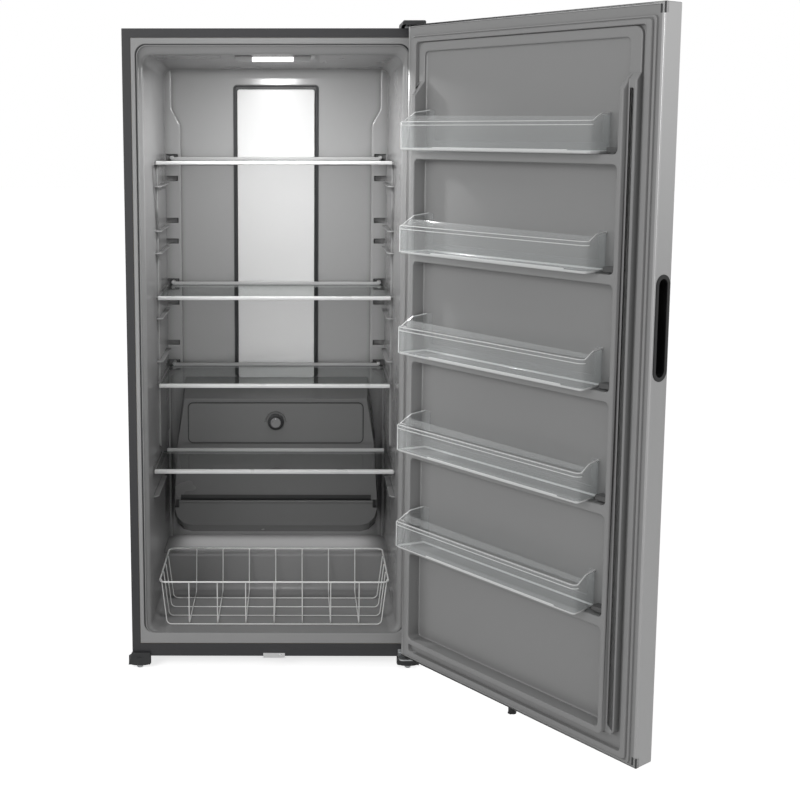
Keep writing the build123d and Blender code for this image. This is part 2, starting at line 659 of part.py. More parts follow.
def basket():
    """Welded wire basket."""
    rim_corner = BASKET_CORNER
    outline = RectangleRounded(2 * BASKET_HALF, BASKET_BACK - BASKET_FRONT, rim_corner)
    path = Pos(0, (BASKET_FRONT + BASKET_BACK) / 2, BASKET_RIM) * outline.wire()
    start = path @ 0
    ring = Plane(origin=start, z_dir=path % 0) * Circle(RIM_WIRE)
    wires = sweep(ring, path, transition=Transition.ROUND)
    cross_z = FLOOR + SEAT_GAP + WIRE
    long_z = cross_z + 2 * WIRE - 0.3
    side = BASKET_HALF - RIM_WIRE - WIRE + 0.4
    for y in CROSS_WIRES:
        share = (y - BASKET_FRONT) / (BASKET_BACK - BASKET_FRONT)
        top_y = BASKET_FRONT + 14 + share * (BASKET_BACK - BASKET_FRONT - 10)
        wires += wire_path([
            (-side, top_y, BASKET_RIM), (-BASKET_FLOOR_HALF, y, cross_z),
            (BASKET_FLOOR_HALF, y, cross_z), (side, top_y, BASKET_RIM),
        ], WIRE_BEND, WIRE)
    front_y = BASKET_FRONT + RIM_WIRE + WIRE - 0.4
    back_y = BASKET_BACK - RIM_WIRE - WIRE + 0.4
    for index in range(LONG_WIRES):
        x = (index - (LONG_WIRES - 1) / 2) * LONG_WIRE_STEP
        wires += wire_path([
            (x, front_y, BASKET_RIM), (x, BASKET_FLOOR_FRONT, long_z),
            (x, BASKET_FLOOR_BACK, long_z), (x, back_y, BASKET_RIM),
        ], WIRE_BEND, WIRE)
    return wires


def machine_parts():
    """Sheets and equipment of the machine compartment."""
    pieces = {}
    half = SHELL_IN - 0.1
    rear = BACK_PANEL_FRONT
    pieces["machine_bulkhead"] = side_prism([
        (MACHINE_FRONT, CABINET_BOTTOM + PAN_STEEL), (MACHINE_FRONT + 1, CABINET_BOTTOM + PAN_STEEL),
        (MACHINE_FRONT + 1, MACHINE_TOP - 1), (rear, MACHINE_TOP - 1), (rear, MACHINE_TOP),
        (MACHINE_FRONT, MACHINE_TOP),
    ], -half, half)
    plate_top = CABINET_BOTTOM + 2
    plate = block(-half, half, MACHINE_FRONT + 1.2, rear - 2.5, CABINET_BOTTOM, plate_top)
    plate += block(-half, -half + 2, MACHINE_FRONT + 1.2, rear - 2.5, CABINET_BOTTOM, 70)
    plate += block(half - 2, half, MACHINE_FRONT + 1.2, rear - 2.5, CABINET_BOTTOM, 70)
    for side in (-1, 1):
        for offset in (-ROLLER_WIDE / 2 - 2.5, ROLLER_WIDE / 2 + 0.5):
            x0 = side * ROLLER_X + offset
            cheek = block(x0, x0 + 2, ROLLER_Y - 16, ROLLER_Y + 16, ROLLER_RADIUS - 9,
                          CABINET_BOTTOM + 1)
            plate += cheek
        plate += rod((side * ROLLER_X - ROLLER_WIDE / 2 - 2, ROLLER_Y, ROLLER_RADIUS),
                     (side * ROLLER_X + ROLLER_WIDE / 2 + 2, ROLLER_Y, ROLLER_RADIUS), AXLE_RADIUS)
    pieces["rear_base"] = plate
    for name, side in (("roller_left", -1), ("roller_right", 1)):
        x = side * ROLLER_X
        wheel = rod((x - ROLLER_WIDE / 2, ROLLER_Y, ROLLER_RADIUS),
                    (x + ROLLER_WIDE / 2, ROLLER_Y, ROLLER_RADIUS), ROLLER_RADIUS)
        wheel = fillet(wheel.edges().filter_by(GeomType.CIRCLE), 2)
        wheel -= rod((x - 50, ROLLER_Y, ROLLER_RADIUS), (x + 50, ROLLER_Y, ROLLER_RADIUS),
                     AXLE_RADIUS + RUNNING)
        pieces[name] = wheel

    shell = Pos(COMPRESSOR_X, COMPRESSOR_Y, (COMPRESSOR_LOW + COMPRESSOR_HIGH) / 2) * Cylinder(
        COMPRESSOR_RADIUS, COMPRESSOR_HIGH - COMPRESSOR_LOW)
    shell = fillet(shell.edges().filter_by(GeomType.CIRCLE), 34)
    seam_z = (COMPRESSOR_LOW + COMPRESSOR_HIGH) / 2
    shell += Pos(COMPRESSOR_X, COMPRESSOR_Y, seam_z) * Cylinder(COMPRESSOR_RADIUS + 2, 6)
    shell += block(COMPRESSOR_X - 95, COMPRESSOR_X + 95, COMPRESSOR_Y - 60, COMPRESSOR_Y - 30,
                   COMPRESSOR_LOW - 2, COMPRESSOR_LOW + 2)
    shell += block(COMPRESSOR_X - 95, COMPRESSOR_X + 95, COMPRESSOR_Y + 30, COMPRESSOR_Y + 60,
                   COMPRESSOR_LOW - 2, COMPRESSOR_LOW + 2)
    shell += block(COMPRESSOR_X - 40, COMPRESSOR_X + 40, COMPRESSOR_Y - 60, COMPRESSOR_Y + 60,
                   COMPRESSOR_LOW - 2, COMPRESSOR_LOW + 4)
    shell += block(COMPRESSOR_X + 60, COMPRESSOR_X + 104, COMPRESSOR_Y - 28, COMPRESSOR_Y + 28, 88, 140)
    mounts = None
    for dx in (-84, 84):
        for dy in (-45, 45):
            x = COMPRESSOR_X + dx
            y = COMPRESSOR_Y + dy
            grommet = rod((x, y, plate_top), (x, y, COMPRESSOR_LOW - 2), 9)
            mounts = grommet if mounts is None else mounts + grommet
    pieces["compressor"] = shell
    pieces["compressor_mounts"] = mounts

    coil = None
    for layer in range(CONDENSER_LAYERS):
        z = 58 + layer * 30
        points = []
        for turn in range(5):
            y0 = 440 + turn * 44
            ends = (-70, 150) if turn % 2 == 0 else (150, -70)
            points.append((ends[0], y0, z))
            points.append((ends[1], y0, z))
        layer_wire = wire_path(points, 18, CONDENSER_TUBE)
        coil = layer_wire if coil is None else coil + layer_wire
    for layer in range(CONDENSER_LAYERS - 1):
        z = 58 + layer * 30
        x, y = (150, 616) if layer % 2 == 0 else (-70, 440)
        coil += rod((x, y, z), (x, y, z + 30), CONDENSER_TUBE)
    for x in (-40, 40, 120):
        coil += block(x - 1, x + 1, 430, 626, plate_top, 156)
    pieces["condenser_coil"] = coil

    pan = block(200, 380, 450, 590, plate_top, 78)
    pan -= block(203, 377, 453, 587, plate_top + 3, 79)
    pieces["drain_pan"] = pan

    cover = block(-half, half, rear - 1.6, rear - 0.1, CABINET_BOTTOM + 3, MACHINE_TOP - 1.3)
    for column in range(16):
        x = -330 + column * 44
        for row in range(4):
            z = 62 + row * 28
            if x > 270 and row < 2:
                continue
            cover -= block(x - 15, x + 15, rear - 5, rear + 5, z, z + 6)
    inlet_x = 340
    inlet = block(inlet_x - 20, inlet_x + 20, rear - 30, rear + 2.0, 62, 92)
    inlet -= block(inlet_x - 13, inlet_x + 13, rear - 16, rear + 5, 68, 86)
    for dx in (-7, 0, 7):
        inlet += block(inlet_x + dx - 1, inlet_x + dx + 1, rear - 17, rear - 2, 74, 80)
    cover -= block(inlet_x - 20.2, inlet_x + 20.2, rear - 5, rear + 5, 61.8, 92.2)
    pieces["machine_cover"] = cover
    pieces["power_inlet"] = inlet
    return pieces


def feet():
    """Front foot covers with the screw legs inside them."""
    pieces = {}
    covers = None
    for name, side, apron_top in (("left", -1, FOOT_APRON_TOP), ("right", 1, FOOT_APRON_TOP_RIGHT)):
        x = side * FOOT_X
        body = Pos(x, FOOT_Y, FOOT_LOW) * extrude(Ellipse(FOOT_HALF_WIDE, FOOT_HALF_DEEP),
                                                 CABINET_BOTTOM - 0.2 - FOOT_LOW)
        body = chamfer(body.edges().group_by(Axis.Z)[0], 2.5)
        outer = side * (FOOT_X + FOOT_HALF_WIDE - 0.5)
        outer_top = side * (FOOT_X + FOOT_HALF_WIDE - 10)
        inner = side * (FOOT_X - FOOT_HALF_WIDE + 1)
        slope = (apron_top - FOOT_LOW) / (FOOT_APRON_TOP - FOOT_LOW)
        outer_top = outer + (outer_top - outer) * slope
        apron = front_prism([(outer, FOOT_LOW + 3), (outer_top, apron_top), (inner, apron_top),
                             (inner, FOOT_LOW + 3)], FOOT_Y - FOOT_HALF_DEEP + 1, -0.4)
        body += apron
        seat = FOOT_LOW + FOOT_SEAT
        body -= rod((x, FOOT_Y, seat), (x, FOOT_Y, CABINET_BOTTOM), NUT_RADIUS + 1)
        body -= rod((x, FOOT_Y, 0), (x, FOOT_Y, seat + 1), NUB_RADIUS + 0.6)
        nut_low = seat + SEAT_GAP
        nut_high = nut_low + NUT_HIGH
        covers = body if covers is None else covers + body
        stud = rod((x, FOOT_Y, 0), (x, FOOT_Y, 11), NUB_RADIUS)
        stud = fillet(stud.edges().group_by(Axis.Z)[0], 3)
        stud += rod((x, FOOT_Y, 11), (x, FOOT_Y, nut_high + 0.5), STUD_RADIUS)
        nut = rod((x, FOOT_Y, nut_low), (x, FOOT_Y, nut_high), NUT_RADIUS)
        nut -= rod((x, FOOT_Y, 0), (x, FOOT_Y, 60), STUD_RADIUS + RUNNING)
        pieces["leg_stud_" + name] = stud
        pieces["leg_nut_" + name] = nut
    pieces["foot_covers"] = covers
    return pieces


def hinges():
    """Fixed hinge brackets with their pins, the top cover and the lock strike."""
    pieces = {}
    low = block(HINGE_X0, HINGE_X1, HINGE_FRONT, 0, LOW_HINGE, LOW_HINGE + 4)
    low = fillet(low.edges().filter_by(Axis.Z).group_by(Axis.Y)[0], 10)
    low += block(HINGE_X0, HINGE_X1, -3, 0, CABINET_BOTTOM + 0.5, DOOR_LOW - 2)
    low += rod((PIN_X, PIN_Y, LOW_HINGE + 4), (PIN_X, PIN_Y, DOOR_LOW - 0.5), 8)
    low += rod((PIN_X, PIN_Y, DOOR_LOW - 0.5), (PIN_X, PIN_Y, DOOR_LOW + 20), PIN_RADIUS)
    pieces["bottom_hinge"] = low
    arm_low = DOOR_HIGH + 0.8
    top = block(HINGE_X0, HINGE_X1, 8, 70, CABINET_TOP, CABINET_TOP + 3)
    top += block(HINGE_X0, HINGE_X1, 5, 8, CABINET_TOP, arm_low + 3)
    arm = block(HINGE_X0, HINGE_X1, HINGE_FRONT, 8, arm_low, arm_low + 3)
    arm = fillet(arm.edges().filter_by(Axis.Z).group_by(Axis.Y)[0], 10)
    top += arm
    top += rod((PIN_X, PIN_Y, DOOR_HIGH - 20), (PIN_X, PIN_Y, arm_low + 1), PIN_RADIUS)
    for x, y in ((HALF - 39.5, 30), (HALF - 13.5, 30), (HALF - 26.5, 56)):
        top += rod((x, y, CABINET_TOP + 3), (x, y, CABINET_TOP + 6), 5.5)
    pieces["top_hinge"] = top
    cover = block(HALF - 62.5, HALF, -60, 80, CABINET_TOP, CABINET_TOP + 17)
    cover = fillet(cover.edges().group_by(Axis.Z)[-1], 5)
    cover -= block(HALF - 60.5, HALF - 1.4, -58, 78, CABINET_TOP - 1, CABINET_TOP + 15)
    cover -= block(HALF - 117.5, HALF + 82.5, -70, 2, CABINET_TOP - 5, DOOR_HIGH + 0.7)
    pieces["top_hinge_cover"] = cover
    strike = block(-31, 33, -9, 0, 34, 49)
    strike -= block(-28, 30, -7.5, 1, 30, 47)
    strike += block(-28, 30, -1.5, 0, CABINET_BOTTOM, 47)
    strike += rod((20, -12, 41.5), (20, -7.6, 41.5), 5)
    pieces["lock_strike"] = strike
    return pieces


def ux(u):
    """Closed X of a place measured from the door's hinge edge."""
    return DOOR_HINGE_EDGE - u


def door_block(u0, u1, h0, h1, z0, z1):
    """Box in the door's own measures: across, above the inner face, height."""
    return block(ux(u1), ux(u0), DOOR_INNER + h0, DOOR_INNER + h1, z0, z1)


def opened(shape):
    """Turn a closed-door piece to the angle shown."""
    turn = Pos(PIN_X, PIN_Y, 0) * Rot(0, 0, DOOR_OPEN) * Pos(-PIN_X, -PIN_Y, 0)
    return turn * shape


def grip_stadium(low, high, t0, t1, x0, x1):
    """Upright stadium seen from the door's free edge."""
    radius = (t1 - t0) / 2 - 0.01
    outline = RectangleRounded(t1 - t0, high - low, radius)
    place = Plane(origin=(x0, DOOR_INNER - (t0 + t1) / 2, (low + high) / 2), x_dir=(0, 1, 0),
                  z_dir=(1, 0, 0))
    return extrude(place * outline, x1 - x0, dir=(1, 0, 0))


def panels(grow):
    """Sunk panels of the door liner, between the cross ribs that carry the bins."""
    g = grow
    edges = [RECESS_Z0]
    for rim in reversed(BIN_RIMS):
        edges += [rim - RIB_LOW, rim - BIN_HIGH - SEAT_GAP]
    edges.append(RECESS_Z1)
    sunk = None
    for low, high in zip(edges[0::2], edges[1::2]):
        panel = front_slab(ux(RECESS_U1 - g), ux(RECESS_U0 + g), low + g, high - g,
                           DOOR_INNER - RECESS_SINK + g, DOOR_INNER + 80, RECESS_RADIUS - g)
        sunk = panel if sunk is None else sunk + panel
    return sunk


def raised(u0, u1, z1, high, radius, grow):
    """Raised part of the door liner with a rounded front edge."""
    g = grow
    slab = front_slab(ux(u1 + g), ux(u0 - g), FORM_Z0 - g, z1 + g, DOOR_INNER - 5,
                      DOOR_INNER + high + g, radius + g)
    return fillet(slab.faces().sort_by(Axis.Y)[-1].edges(), FORM_ROUND + g)


def door_form(grow):
    """All that lies behind the face of the door liner, grown by the given amount."""
    g = grow
    body = door_block(-20, DOOR_WIDTH + 26.5, -DOOR_THICK - 5, g, DOOR_LOW - 20, DOOR_HIGH + 20)
    ladder = raised(FORM_U0, FORM_U1, SLOPE_END + 20, STEP_HIGH, RAIL_RADIUS, g)
    ladder += raised(RAIL_U0, RAIL_U1, SLOPE_END + 20, RAIL_HIGH, RAIL_RADIUS, g)
    fall = (SLOPE_END - RAIL_TOP) / (RAIL_HIGH - TOP_RIM_HIGH)
    reach = 60.0
    start = SLOPE_END + 0.38 * g
    ladder -= side_prism([
        (DOOR_INNER + TOP_RIM_HIGH + g, start), (DOOR_INNER + reach + g, start - fall * (reach - TOP_RIM_HIGH)),
        (DOOR_INNER + reach + g, DOOR_HIGH), (DOOR_INNER - 10, DOOR_HIGH), (DOOR_INNER - 10, start),
    ], -HALF - 82.5, HALF + 82.5)
    body += raised(FORM_U0, FORM_U1, FORM_Z1, TOP_RIM_HIGH, FORM_RADIUS, g)
    body += ladder
    body -= panels(g)
    body -= front_slab(ux(GROOVE_U1 - g), ux(GROOVE_U0 + g), FORM_Z0 + 24 + g, RAIL_TOP - g,
                       DOOR_INNER + STEP_HIGH - GROOVE_DEEP + g, DOOR_INNER + STEP_HIGH + 5, 3.4 - g)
    return body


def door_parts():
    """Every piece of the door but the bins."""
    pieces = {}
    x0 = DOOR_FREE_EDGE
    x1 = DOOR_HINGE_EDGE
    skin_low = DOOR_LOW + CAP_PROUD
    skin_high = DOOR_HIGH - CAP_PROUD
    outer = block(x0, x1, DOOR_OUTER, DOOR_INNER, skin_low, skin_high)
    outer = fillet(outer.edges().filter_by(Axis.Z).group_by(Axis.Y)[0], DOOR_CORNER)
    inner = block(x0 + DOOR_SKIN, x1 - DOOR_SKIN, DOOR_OUTER + DOOR_SKIN, DOOR_INNER + 60,
                  skin_low - 1, skin_high + 1)
    inner = fillet(inner.edges().filter_by(Axis.Z).group_by(Axis.Y)[0], DOOR_CORNER - DOOR_SKIN)
    skin = outer - inner
    grip_hole = grip_stadium(GRIP_LOW + 3, GRIP_HIGH - 3, GRIP_T0 + 3, GRIP_T1 - 3, x0 - 5, x0 + 5)
    skin -= grip_hole

    cap = inner & block(-HALF - 1, HALF + 1, -200, DOOR_INNER, DOOR_HIGH - CAP_DEPTH, DOOR_HIGH)
    corner = block(x0, x0 + 14, DOOR_INNER - 12, DOOR_INNER, DOOR_HIGH - 26, DOOR_HIGH)
    cap += corner
    cap -= rod((PIN_X, PIN_Y, DOOR_HIGH - 30), (PIN_X, PIN_Y, DOOR_HIGH + 5), 9)
    low_cap = inner & block(-HALF - 1, HALF + 1, -200, DOOR_INNER, DOOR_LOW, DOOR_LOW + CAP_DEPTH)
    low_corner = block(x0, x0 + 14, DOOR_INNER - 12, DOOR_INNER, DOOR_LOW, DOOR_LOW + 26)
    low_cap += low_corner
    low_cap -= rod((PIN_X, PIN_Y, DOOR_LOW - 5), (PIN_X, PIN_Y, DOOR_LOW + 30), 9)
    lock_x = ux(LOCK_U)
    lock_y = DOOR_INNER - LOCK_T
    low_cap -= rod((lock_x, lock_y, 0), (lock_x, lock_y, DOOR_LOW + 30), 6 + RUNNING)
    skin = skin - corner - low_corner
    cap_top_low = DOOR_HIGH - CAP_DEPTH
    cap_low_high = DOOR_LOW + CAP_DEPTH

    bushings = None
    for z0, z1 in ((DOOR_LOW, DOOR_LOW + 24), (DOOR_HIGH - 24, DOOR_HIGH)):
        bush = rod((PIN_X, PIN_Y, z0), (PIN_X, PIN_Y, z1), 9)
        bush -= rod((PIN_X, PIN_Y, z0 - 1), (PIN_X, PIN_Y, z1 + 1), PIN_RADIUS + RUNNING)
        bushings = bush if bushings is None else bushings + bush

    cup = grip_stadium(GRIP_LOW, GRIP_HIGH, GRIP_T0, GRIP_T1, x0 - 1.5, x0)
    wall = GRIP_RIM - 4
    cup += grip_stadium(GRIP_LOW + wall, GRIP_HIGH - wall, GRIP_T0 + wall, GRIP_T1 - wall,
                        x0 - 1.5, x0 + GRIP_DEPTH)
    cup -= grip_stadium(GRIP_LOW + GRIP_RIM, GRIP_HIGH - GRIP_RIM, GRIP_T0 + GRIP_RIM,
                        GRIP_T1 - GRIP_RIM, x0 - 5, x0 + GRIP_DEPTH - GRIP_WALL)
    cup_space = grip_stadium(GRIP_LOW + wall, GRIP_HIGH - wall, GRIP_T0 + wall, GRIP_T1 - wall,
                             x0 - 5, x0 + GRIP_DEPTH)

    within = block(x0 + DOOR_SKIN, x1 - DOOR_SKIN, DOOR_INNER - RECESS_SINK - DOOR_LINER,
                   DOOR_INNER + 60, cap_low_high, cap_top_low)
    under = door_form(-DOOR_LINER)
    liner = (door_form(0) - under) & within
    liner = liner - corner - low_corner

    foam = inner & under & block(-HALF - 1, HALF + 1, -200, 200, cap_low_high, cap_top_low)
    foam = foam - cup_space - corner - low_corner
    for z0, z1 in ((DOOR_LOW - 5, DOOR_LOW + 24), (DOOR_HIGH - 24, DOOR_HIGH + 5)):
        foam -= rod((PIN_X, PIN_Y, z0), (PIN_X, PIN_Y, z1), 9)
    foam -= rod((lock_x, lock_y, 0), (lock_x, lock_y, DOOR_LOW + 22), 6.5)

    gasket = front_slab(ux(GASKET_U1), ux(GASKET_U0), GASKET_Z0, GASKET_Z1, DOOR_INNER,
                        DOOR_INNER + GASKET_THICK, 10)
    gasket -= front_slab(ux(GASKET_U1 - GASKET_WIDE), ux(GASKET_U0 + GASKET_WIDE),
                         GASKET_Z0 + GASKET_WIDE, FORM_Z1 + GASKET_GAP, -30, 20, 8)
    slot = front_slab(ux(GASKET_U1 - 7), ux(GASKET_U0 + 7), GASKET_Z0 + 7, GASKET_Z1 - 7,
                      DOOR_INNER + 3, DOOR_INNER + 6, 8)
    slot -= front_slab(ux(GASKET_U1 - 13), ux(GASKET_U0 + 13), GASKET_Z0 + 13, GASKET_Z1 - 13, -30,
                       20, 8)
    gasket -= slot

    peg = rod((lock_x, lock_y, DOOR_LOW - 0.5), (lock_x, lock_y, DOOR_LOW + 18), 6)
    peg += rod((lock_x, lock_y, LOCK_LOW), (lock_x, lock_y, DOOR_LOW - 0.5), LOCK_RADIUS)
    peg += block(lock_x - 5, lock_x + 5, lock_y, lock_y + 13, LOCK_LOW, LOCK_LOW + 5)

    brackets = None
    for rim in BIN_RIMS:
        low = rim - COMB_LOW
        high = rim + COMB_HIGH
        comb = door_block(RECESS_U0, RECESS_U0 + COMB_PLATE, -RECESS_SINK, COMB_BAR_H1, low, high)
        comb += door_block(RECESS_U0 + 0.5, RECESS_U0 + COMB_BAR, COMB_BAR_H0, COMB_BAR_H1, low, high)
        for index in range(COMB_RIBS):
            z = low + 8 + index * (high - low - 19) / (COMB_RIBS - 1)
            comb += door_block(RECESS_U0 + 0.5, RECESS_U0 + COMB_RIB, -RECESS_SINK, COMB_BAR_H0, z, z + 3)
        clip = door_block(RECESS_U1 - COMB_PLATE, RECESS_U1, -RECESS_SINK, COMB_BAR_H1, low, high)
        clip += door_block(BIN_FRONT_U1 + 1, RECESS_U1 - 0.5, -RECESS_SINK, 26, low, low + 12)
        pair = comb + clip
        # The panel's round corners take the lowest ends of the plates
        corners = door_block(RECESS_U0, RECESS_U1, -RECESS_SINK, RAIL_HIGH, low,
                             rim - BIN_HIGH - SEAT_GAP + RECESS_RADIUS)
        pair -= corners & door_form(COMB_GAP)
        brackets = pair if brackets is None else brackets + pair

    pieces["door_skin"] = skin
    pieces["door_cap_top"] = cap
    pieces["door_cap_bottom"] = low_cap
    pieces["door_bushings"] = bushings
    pieces["handle_cup"] = cup
    pieces["door_liner"] = liner
    pieces["door_foam"] = foam
    pieces["door_gasket"] = gasket
    pieces["lock_peg"] = peg
    pieces["bin_brackets"] = brackets
    return pieces


def bin_form(grow, low, high):
    """Plan of a bin, narrower at the back, between two heights."""
    g = grow
    points = [
        (BIN_FRONT_U0 - g, BIN_H1 + g), (BIN_BEND_U0 - g, BIN_BEND_H), (BIN_BACK_U0 - g, BIN_H0 - g),
        (BIN_BACK_U1 + g, BIN_H0 - g), (BIN_FRONT_U1 + g, BIN_H1 + g),
    ]
    outline = Polygon(*[(ux(u), DOOR_INNER + h) for u, h in points], align=None)
    body = extrude(Pos(0, 0, low) * outline, high - low, dir=(0, 0, 1))
    corners = body.edges().filter_by(Axis.Z).group_by(Axis.Y)[-1]
    return fillet(corners, BIN_CORNER + g)


def bin_cut(rim, rise, u0, u1):
    """Space over a bin's sloping side rims."""
    front = DOOR_INNER + BIN_H1
    return side_prism([
        (front + 10, rim), (front - 22, rim), (front - 50, rim + rise), (front - 50, rim + 60),
        (front + 10, rim + 60),
    ], ux(u1), ux(u0))


def door_bin(rim):
    """Clear bin: low front, sides that rise to the back."""
    low = rim - BIN_HIGH
    high = rim + BIN_RISE
    body = bin_form(0, low, high)
    bottom = body.faces().sort_by(Axis.Z)[0].edges()
    body = fillet(bottom, 8)
    inner = bin_form(-BIN_WALL, low + BIN_WALL, high + 5)
    inner = fillet(inner.faces().sort_by(Axis.Z)[0].edges(), 5.5)
    lip = bin_form(1.6, rim - BIN_LIP, rim) - bin_form(-0.5, rim - BIN_LIP - 1, rim + 1)
    lip &= door_block(-50, DOOR_WIDTH + 66.5, BIN_BEND_H + 14, 200, 0, DOOR_HIGH)
    body = body - inner + lip
    middle = (BIN_FRONT_U0 + BIN_FRONT_U1) / 2
    body -= bin_cut(rim, BIN_RISE, -50, middle)
    body -= bin_cut(rim, BIN_RISE_FREE, middle, DOOR_WIDTH + 66.5)
    body -= door_block(middle, DOOR_WIDTH + 66.5, -50, 200, rim + BIN_RISE_FREE, high + 5)
    body -= door_block(BIN_BACK_U0 + BIN_BACK_END, BIN_BACK_U1 - BIN_BACK_END, BIN_H0 - 1,
                       BIN_H0 + BIN_WALL + 1, low + BIN_BACK_HIGH, high + 5)
    strip = door_block(BIN_FRONT_U0 + 130, BIN_FRONT_U1 - 60, BIN_H1 - 0.5, BIN_H1 + 1.4, low + 9,
                       low + 19)
    return body + strip


space = cavity(0)
grown = cavity(LINER)
save("cabinet_shell", cabinet_shell())
save("back_panel", block(-SHELL_IN + 0.1, SHELL_IN - 0.1, BACK_PANEL_FRONT, BACK_PANEL_FRONT + 1.1,
                         MACHINE_TOP + 0.5, CABINET_TOP - STEEL - 0.1))
save("base_pan", base_pan())
save("inner_liner", inner_liner(space, grown))
save("cabinet_foam", cabinet_foam(grown))
save("front_frame", front_frame())
save("frame_seal", frame_seal())
light_housing, light_lens = light()
save("led_housing", light_housing)
save("led_lens", light_lens)
duct_channel, duct_cover = duct()
save("duct_channel", duct_channel)
save("duct_cover", duct_cover)
save("evaporator_cover", evaporator_cover())
save("evaporator_coil", evaporator_coil())
fan_motor, fan_blades = evaporator_fan()
save("evaporator_fan_motor", fan_motor)
save("evaporator_fan", fan_blades)
thermostat, dial = control()
save("thermostat", thermostat)
save("control_dial", dial)
for name, top, half, front, back, hooked in SHELVES:
    glass, trims = shelf(top, half, front, back, hooked)
    save(name + "_glass", glass)
    save(name + "_trim", trims)
save("basket", basket())
for name, piece in machine_parts().items():
    save(name, piece)
for name, piece in feet().items():
    save(name, piece)
for name, piece in hinges().items():
    save(name, piece)
for name, piece in door_parts().items():
    save(name, opened(piece))
for number, rim in enumerate(BIN_RIMS, start=1):
    save("bin_%d" % number, opened(door_bin(rim)))
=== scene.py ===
import math

import bmesh
import bpy
from bpy.props import FloatProperty, FloatVectorProperty, IntProperty, PointerProperty
from bpy.types import Operator, Panel, PropertyGroup
from mathutils import Matrix, Vector


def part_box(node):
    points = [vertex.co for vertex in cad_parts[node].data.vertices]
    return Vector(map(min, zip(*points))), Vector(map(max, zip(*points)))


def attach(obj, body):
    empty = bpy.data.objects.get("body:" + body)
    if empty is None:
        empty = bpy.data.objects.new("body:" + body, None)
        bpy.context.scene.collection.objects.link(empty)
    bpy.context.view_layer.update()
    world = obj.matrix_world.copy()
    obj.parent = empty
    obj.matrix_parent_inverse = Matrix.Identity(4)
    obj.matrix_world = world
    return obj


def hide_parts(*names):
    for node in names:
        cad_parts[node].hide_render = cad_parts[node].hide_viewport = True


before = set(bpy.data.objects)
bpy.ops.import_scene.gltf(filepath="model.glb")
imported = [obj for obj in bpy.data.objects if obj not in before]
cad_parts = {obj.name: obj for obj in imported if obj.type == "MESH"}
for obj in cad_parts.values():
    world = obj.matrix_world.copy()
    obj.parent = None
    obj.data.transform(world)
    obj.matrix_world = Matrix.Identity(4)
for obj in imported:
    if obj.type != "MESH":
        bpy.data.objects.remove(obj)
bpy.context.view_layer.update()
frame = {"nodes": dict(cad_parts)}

bl_info = {
    "name": "All-refrigerator",
    "version": (1, 0, 0),
    "blender": (4, 5, 0),
    "location": "3D View > Sidebar > Refrigerator",
    "description": "Builds the visible pieces of an upright all-refrigerator round its CAD frame",
    "category": "Add Mesh",
}

# Working sizes are millimetres; the helpers turn them into Blender's metres.
MM = 0.001

# The door is shaped closed, then turned open about its pin
DOOR_OPEN = 127.64
PIN = (403, -42)
HINGE_EDGE = 417.5
FREE_EDGE = -416
DOOR_INNER = -12
DOOR_OUTER = -77
DOOR_LOW = 60.7
DOOR_HIGH = 1857.4

# Name, top of the glass, half width, front, back, and whether its rear rail has knobs
SHELVES = (
    ("shelf_1", 1484, 347.5, 181, 523, True),
    ("shelf_2", 1082, 347.5, 181, 523, True),
    ("shelf_3", 815, 347.5, 181, 523, True),
    ("shelf_4", 571, 355.5, 101, 352, False),
)
POCKETS = (1487, 1420, 1285, 1218, 1085, 1018, 885, 818)
BIN_RIMS = (1598, 1322, 1046, 774, 499)
FLOOR = 107.6
LINER_SHEET = 2.4
DIAL_UP = 653

# Points closer than this are merged, and a cut snaps within this, in metres
MERGE = 0.00002
SNAP = 0.00001


def linear(code):
    """A colour written as sRGB hex, as Blender's linear values."""
    values = [int(code[i:i + 2], 16) / 255 for i in (0, 2, 4)]
    return [v / 12.92 if v <= 0.04045 else ((v + 0.055) / 1.055) ** 2.4 for v in values]


def colour_property(name, description, code):
    return FloatVectorProperty(name=name, description=description, subtype="COLOR", size=3,
                               min=0.0, max=1.0, default=linear(code))


class FridgeColours(PropertyGroup):
    cabinet: colour_property("Cabinet paint", "Dark grey enamel of the outer sheets", "363638")
    liner: colour_property("Liner", "Silver grey polystyrene of both inner liners", "8F8F8F")
    door: colour_property("Door liner", "Silver grey polystyrene of the door", "969696")
    frame: colour_property("Opening frame", "Light grey frame round the opening", "A0A0A0")
    cover: colour_property("Evaporator cover", "Charcoal moulded cover", "616161")
    duct: colour_property("Duct panel", "White panel over the air duct", "C6C6C6")
    trim: colour_property("Shelf trim", "Pale grey edge of the glass shelves", "C8C8C8")
    steel: colour_property("Door steel", "Stainless steel of the door", "B4B4B4")
    gasket: colour_property("Door gasket", "Grey magnetic door seal", "989898")
    plastic: colour_property("Dark plastic", "Feet, caps, cover and grip", "2E2F30")
    wire: colour_property("Basket wire", "White coating of the wire basket", "EDEDEC")
    clear: colour_property("Clear plastic", "Tint of the clear door bins", "F2F3F3")
    glass: colour_property("Shelf glass", "Tint of the float glass", "E8ECEA")


class FridgeSizes(PropertyGroup):
    sheet_edge: FloatProperty(name="Sheet edge", description="Radius of the folded sheet edges",
                              default=0.0015, unit="LENGTH")
    bin_wall: FloatProperty(name="Bin wall", description="Wall thickness of the door bins",
                            default=0.0025, unit="LENGTH")
    corner_steps: IntProperty(name="Corner steps", description="Segments in a rounded corner",
                              default=8, min=3, max=24)


def colours():
    return bpy.context.scene.fridge_colours


def sizes():
    return bpy.context.scene.fridge_sizes


# Modelling helpers, all in millimetres

def clear_selection():
    """Leave edit mode with nothing selected, so that the next operator acts on its own piece."""
    if bpy.context.mode != "OBJECT":
        bpy.ops.object.mode_set(mode="OBJECT")
    bpy.ops.object.select_all(action="DESELECT")


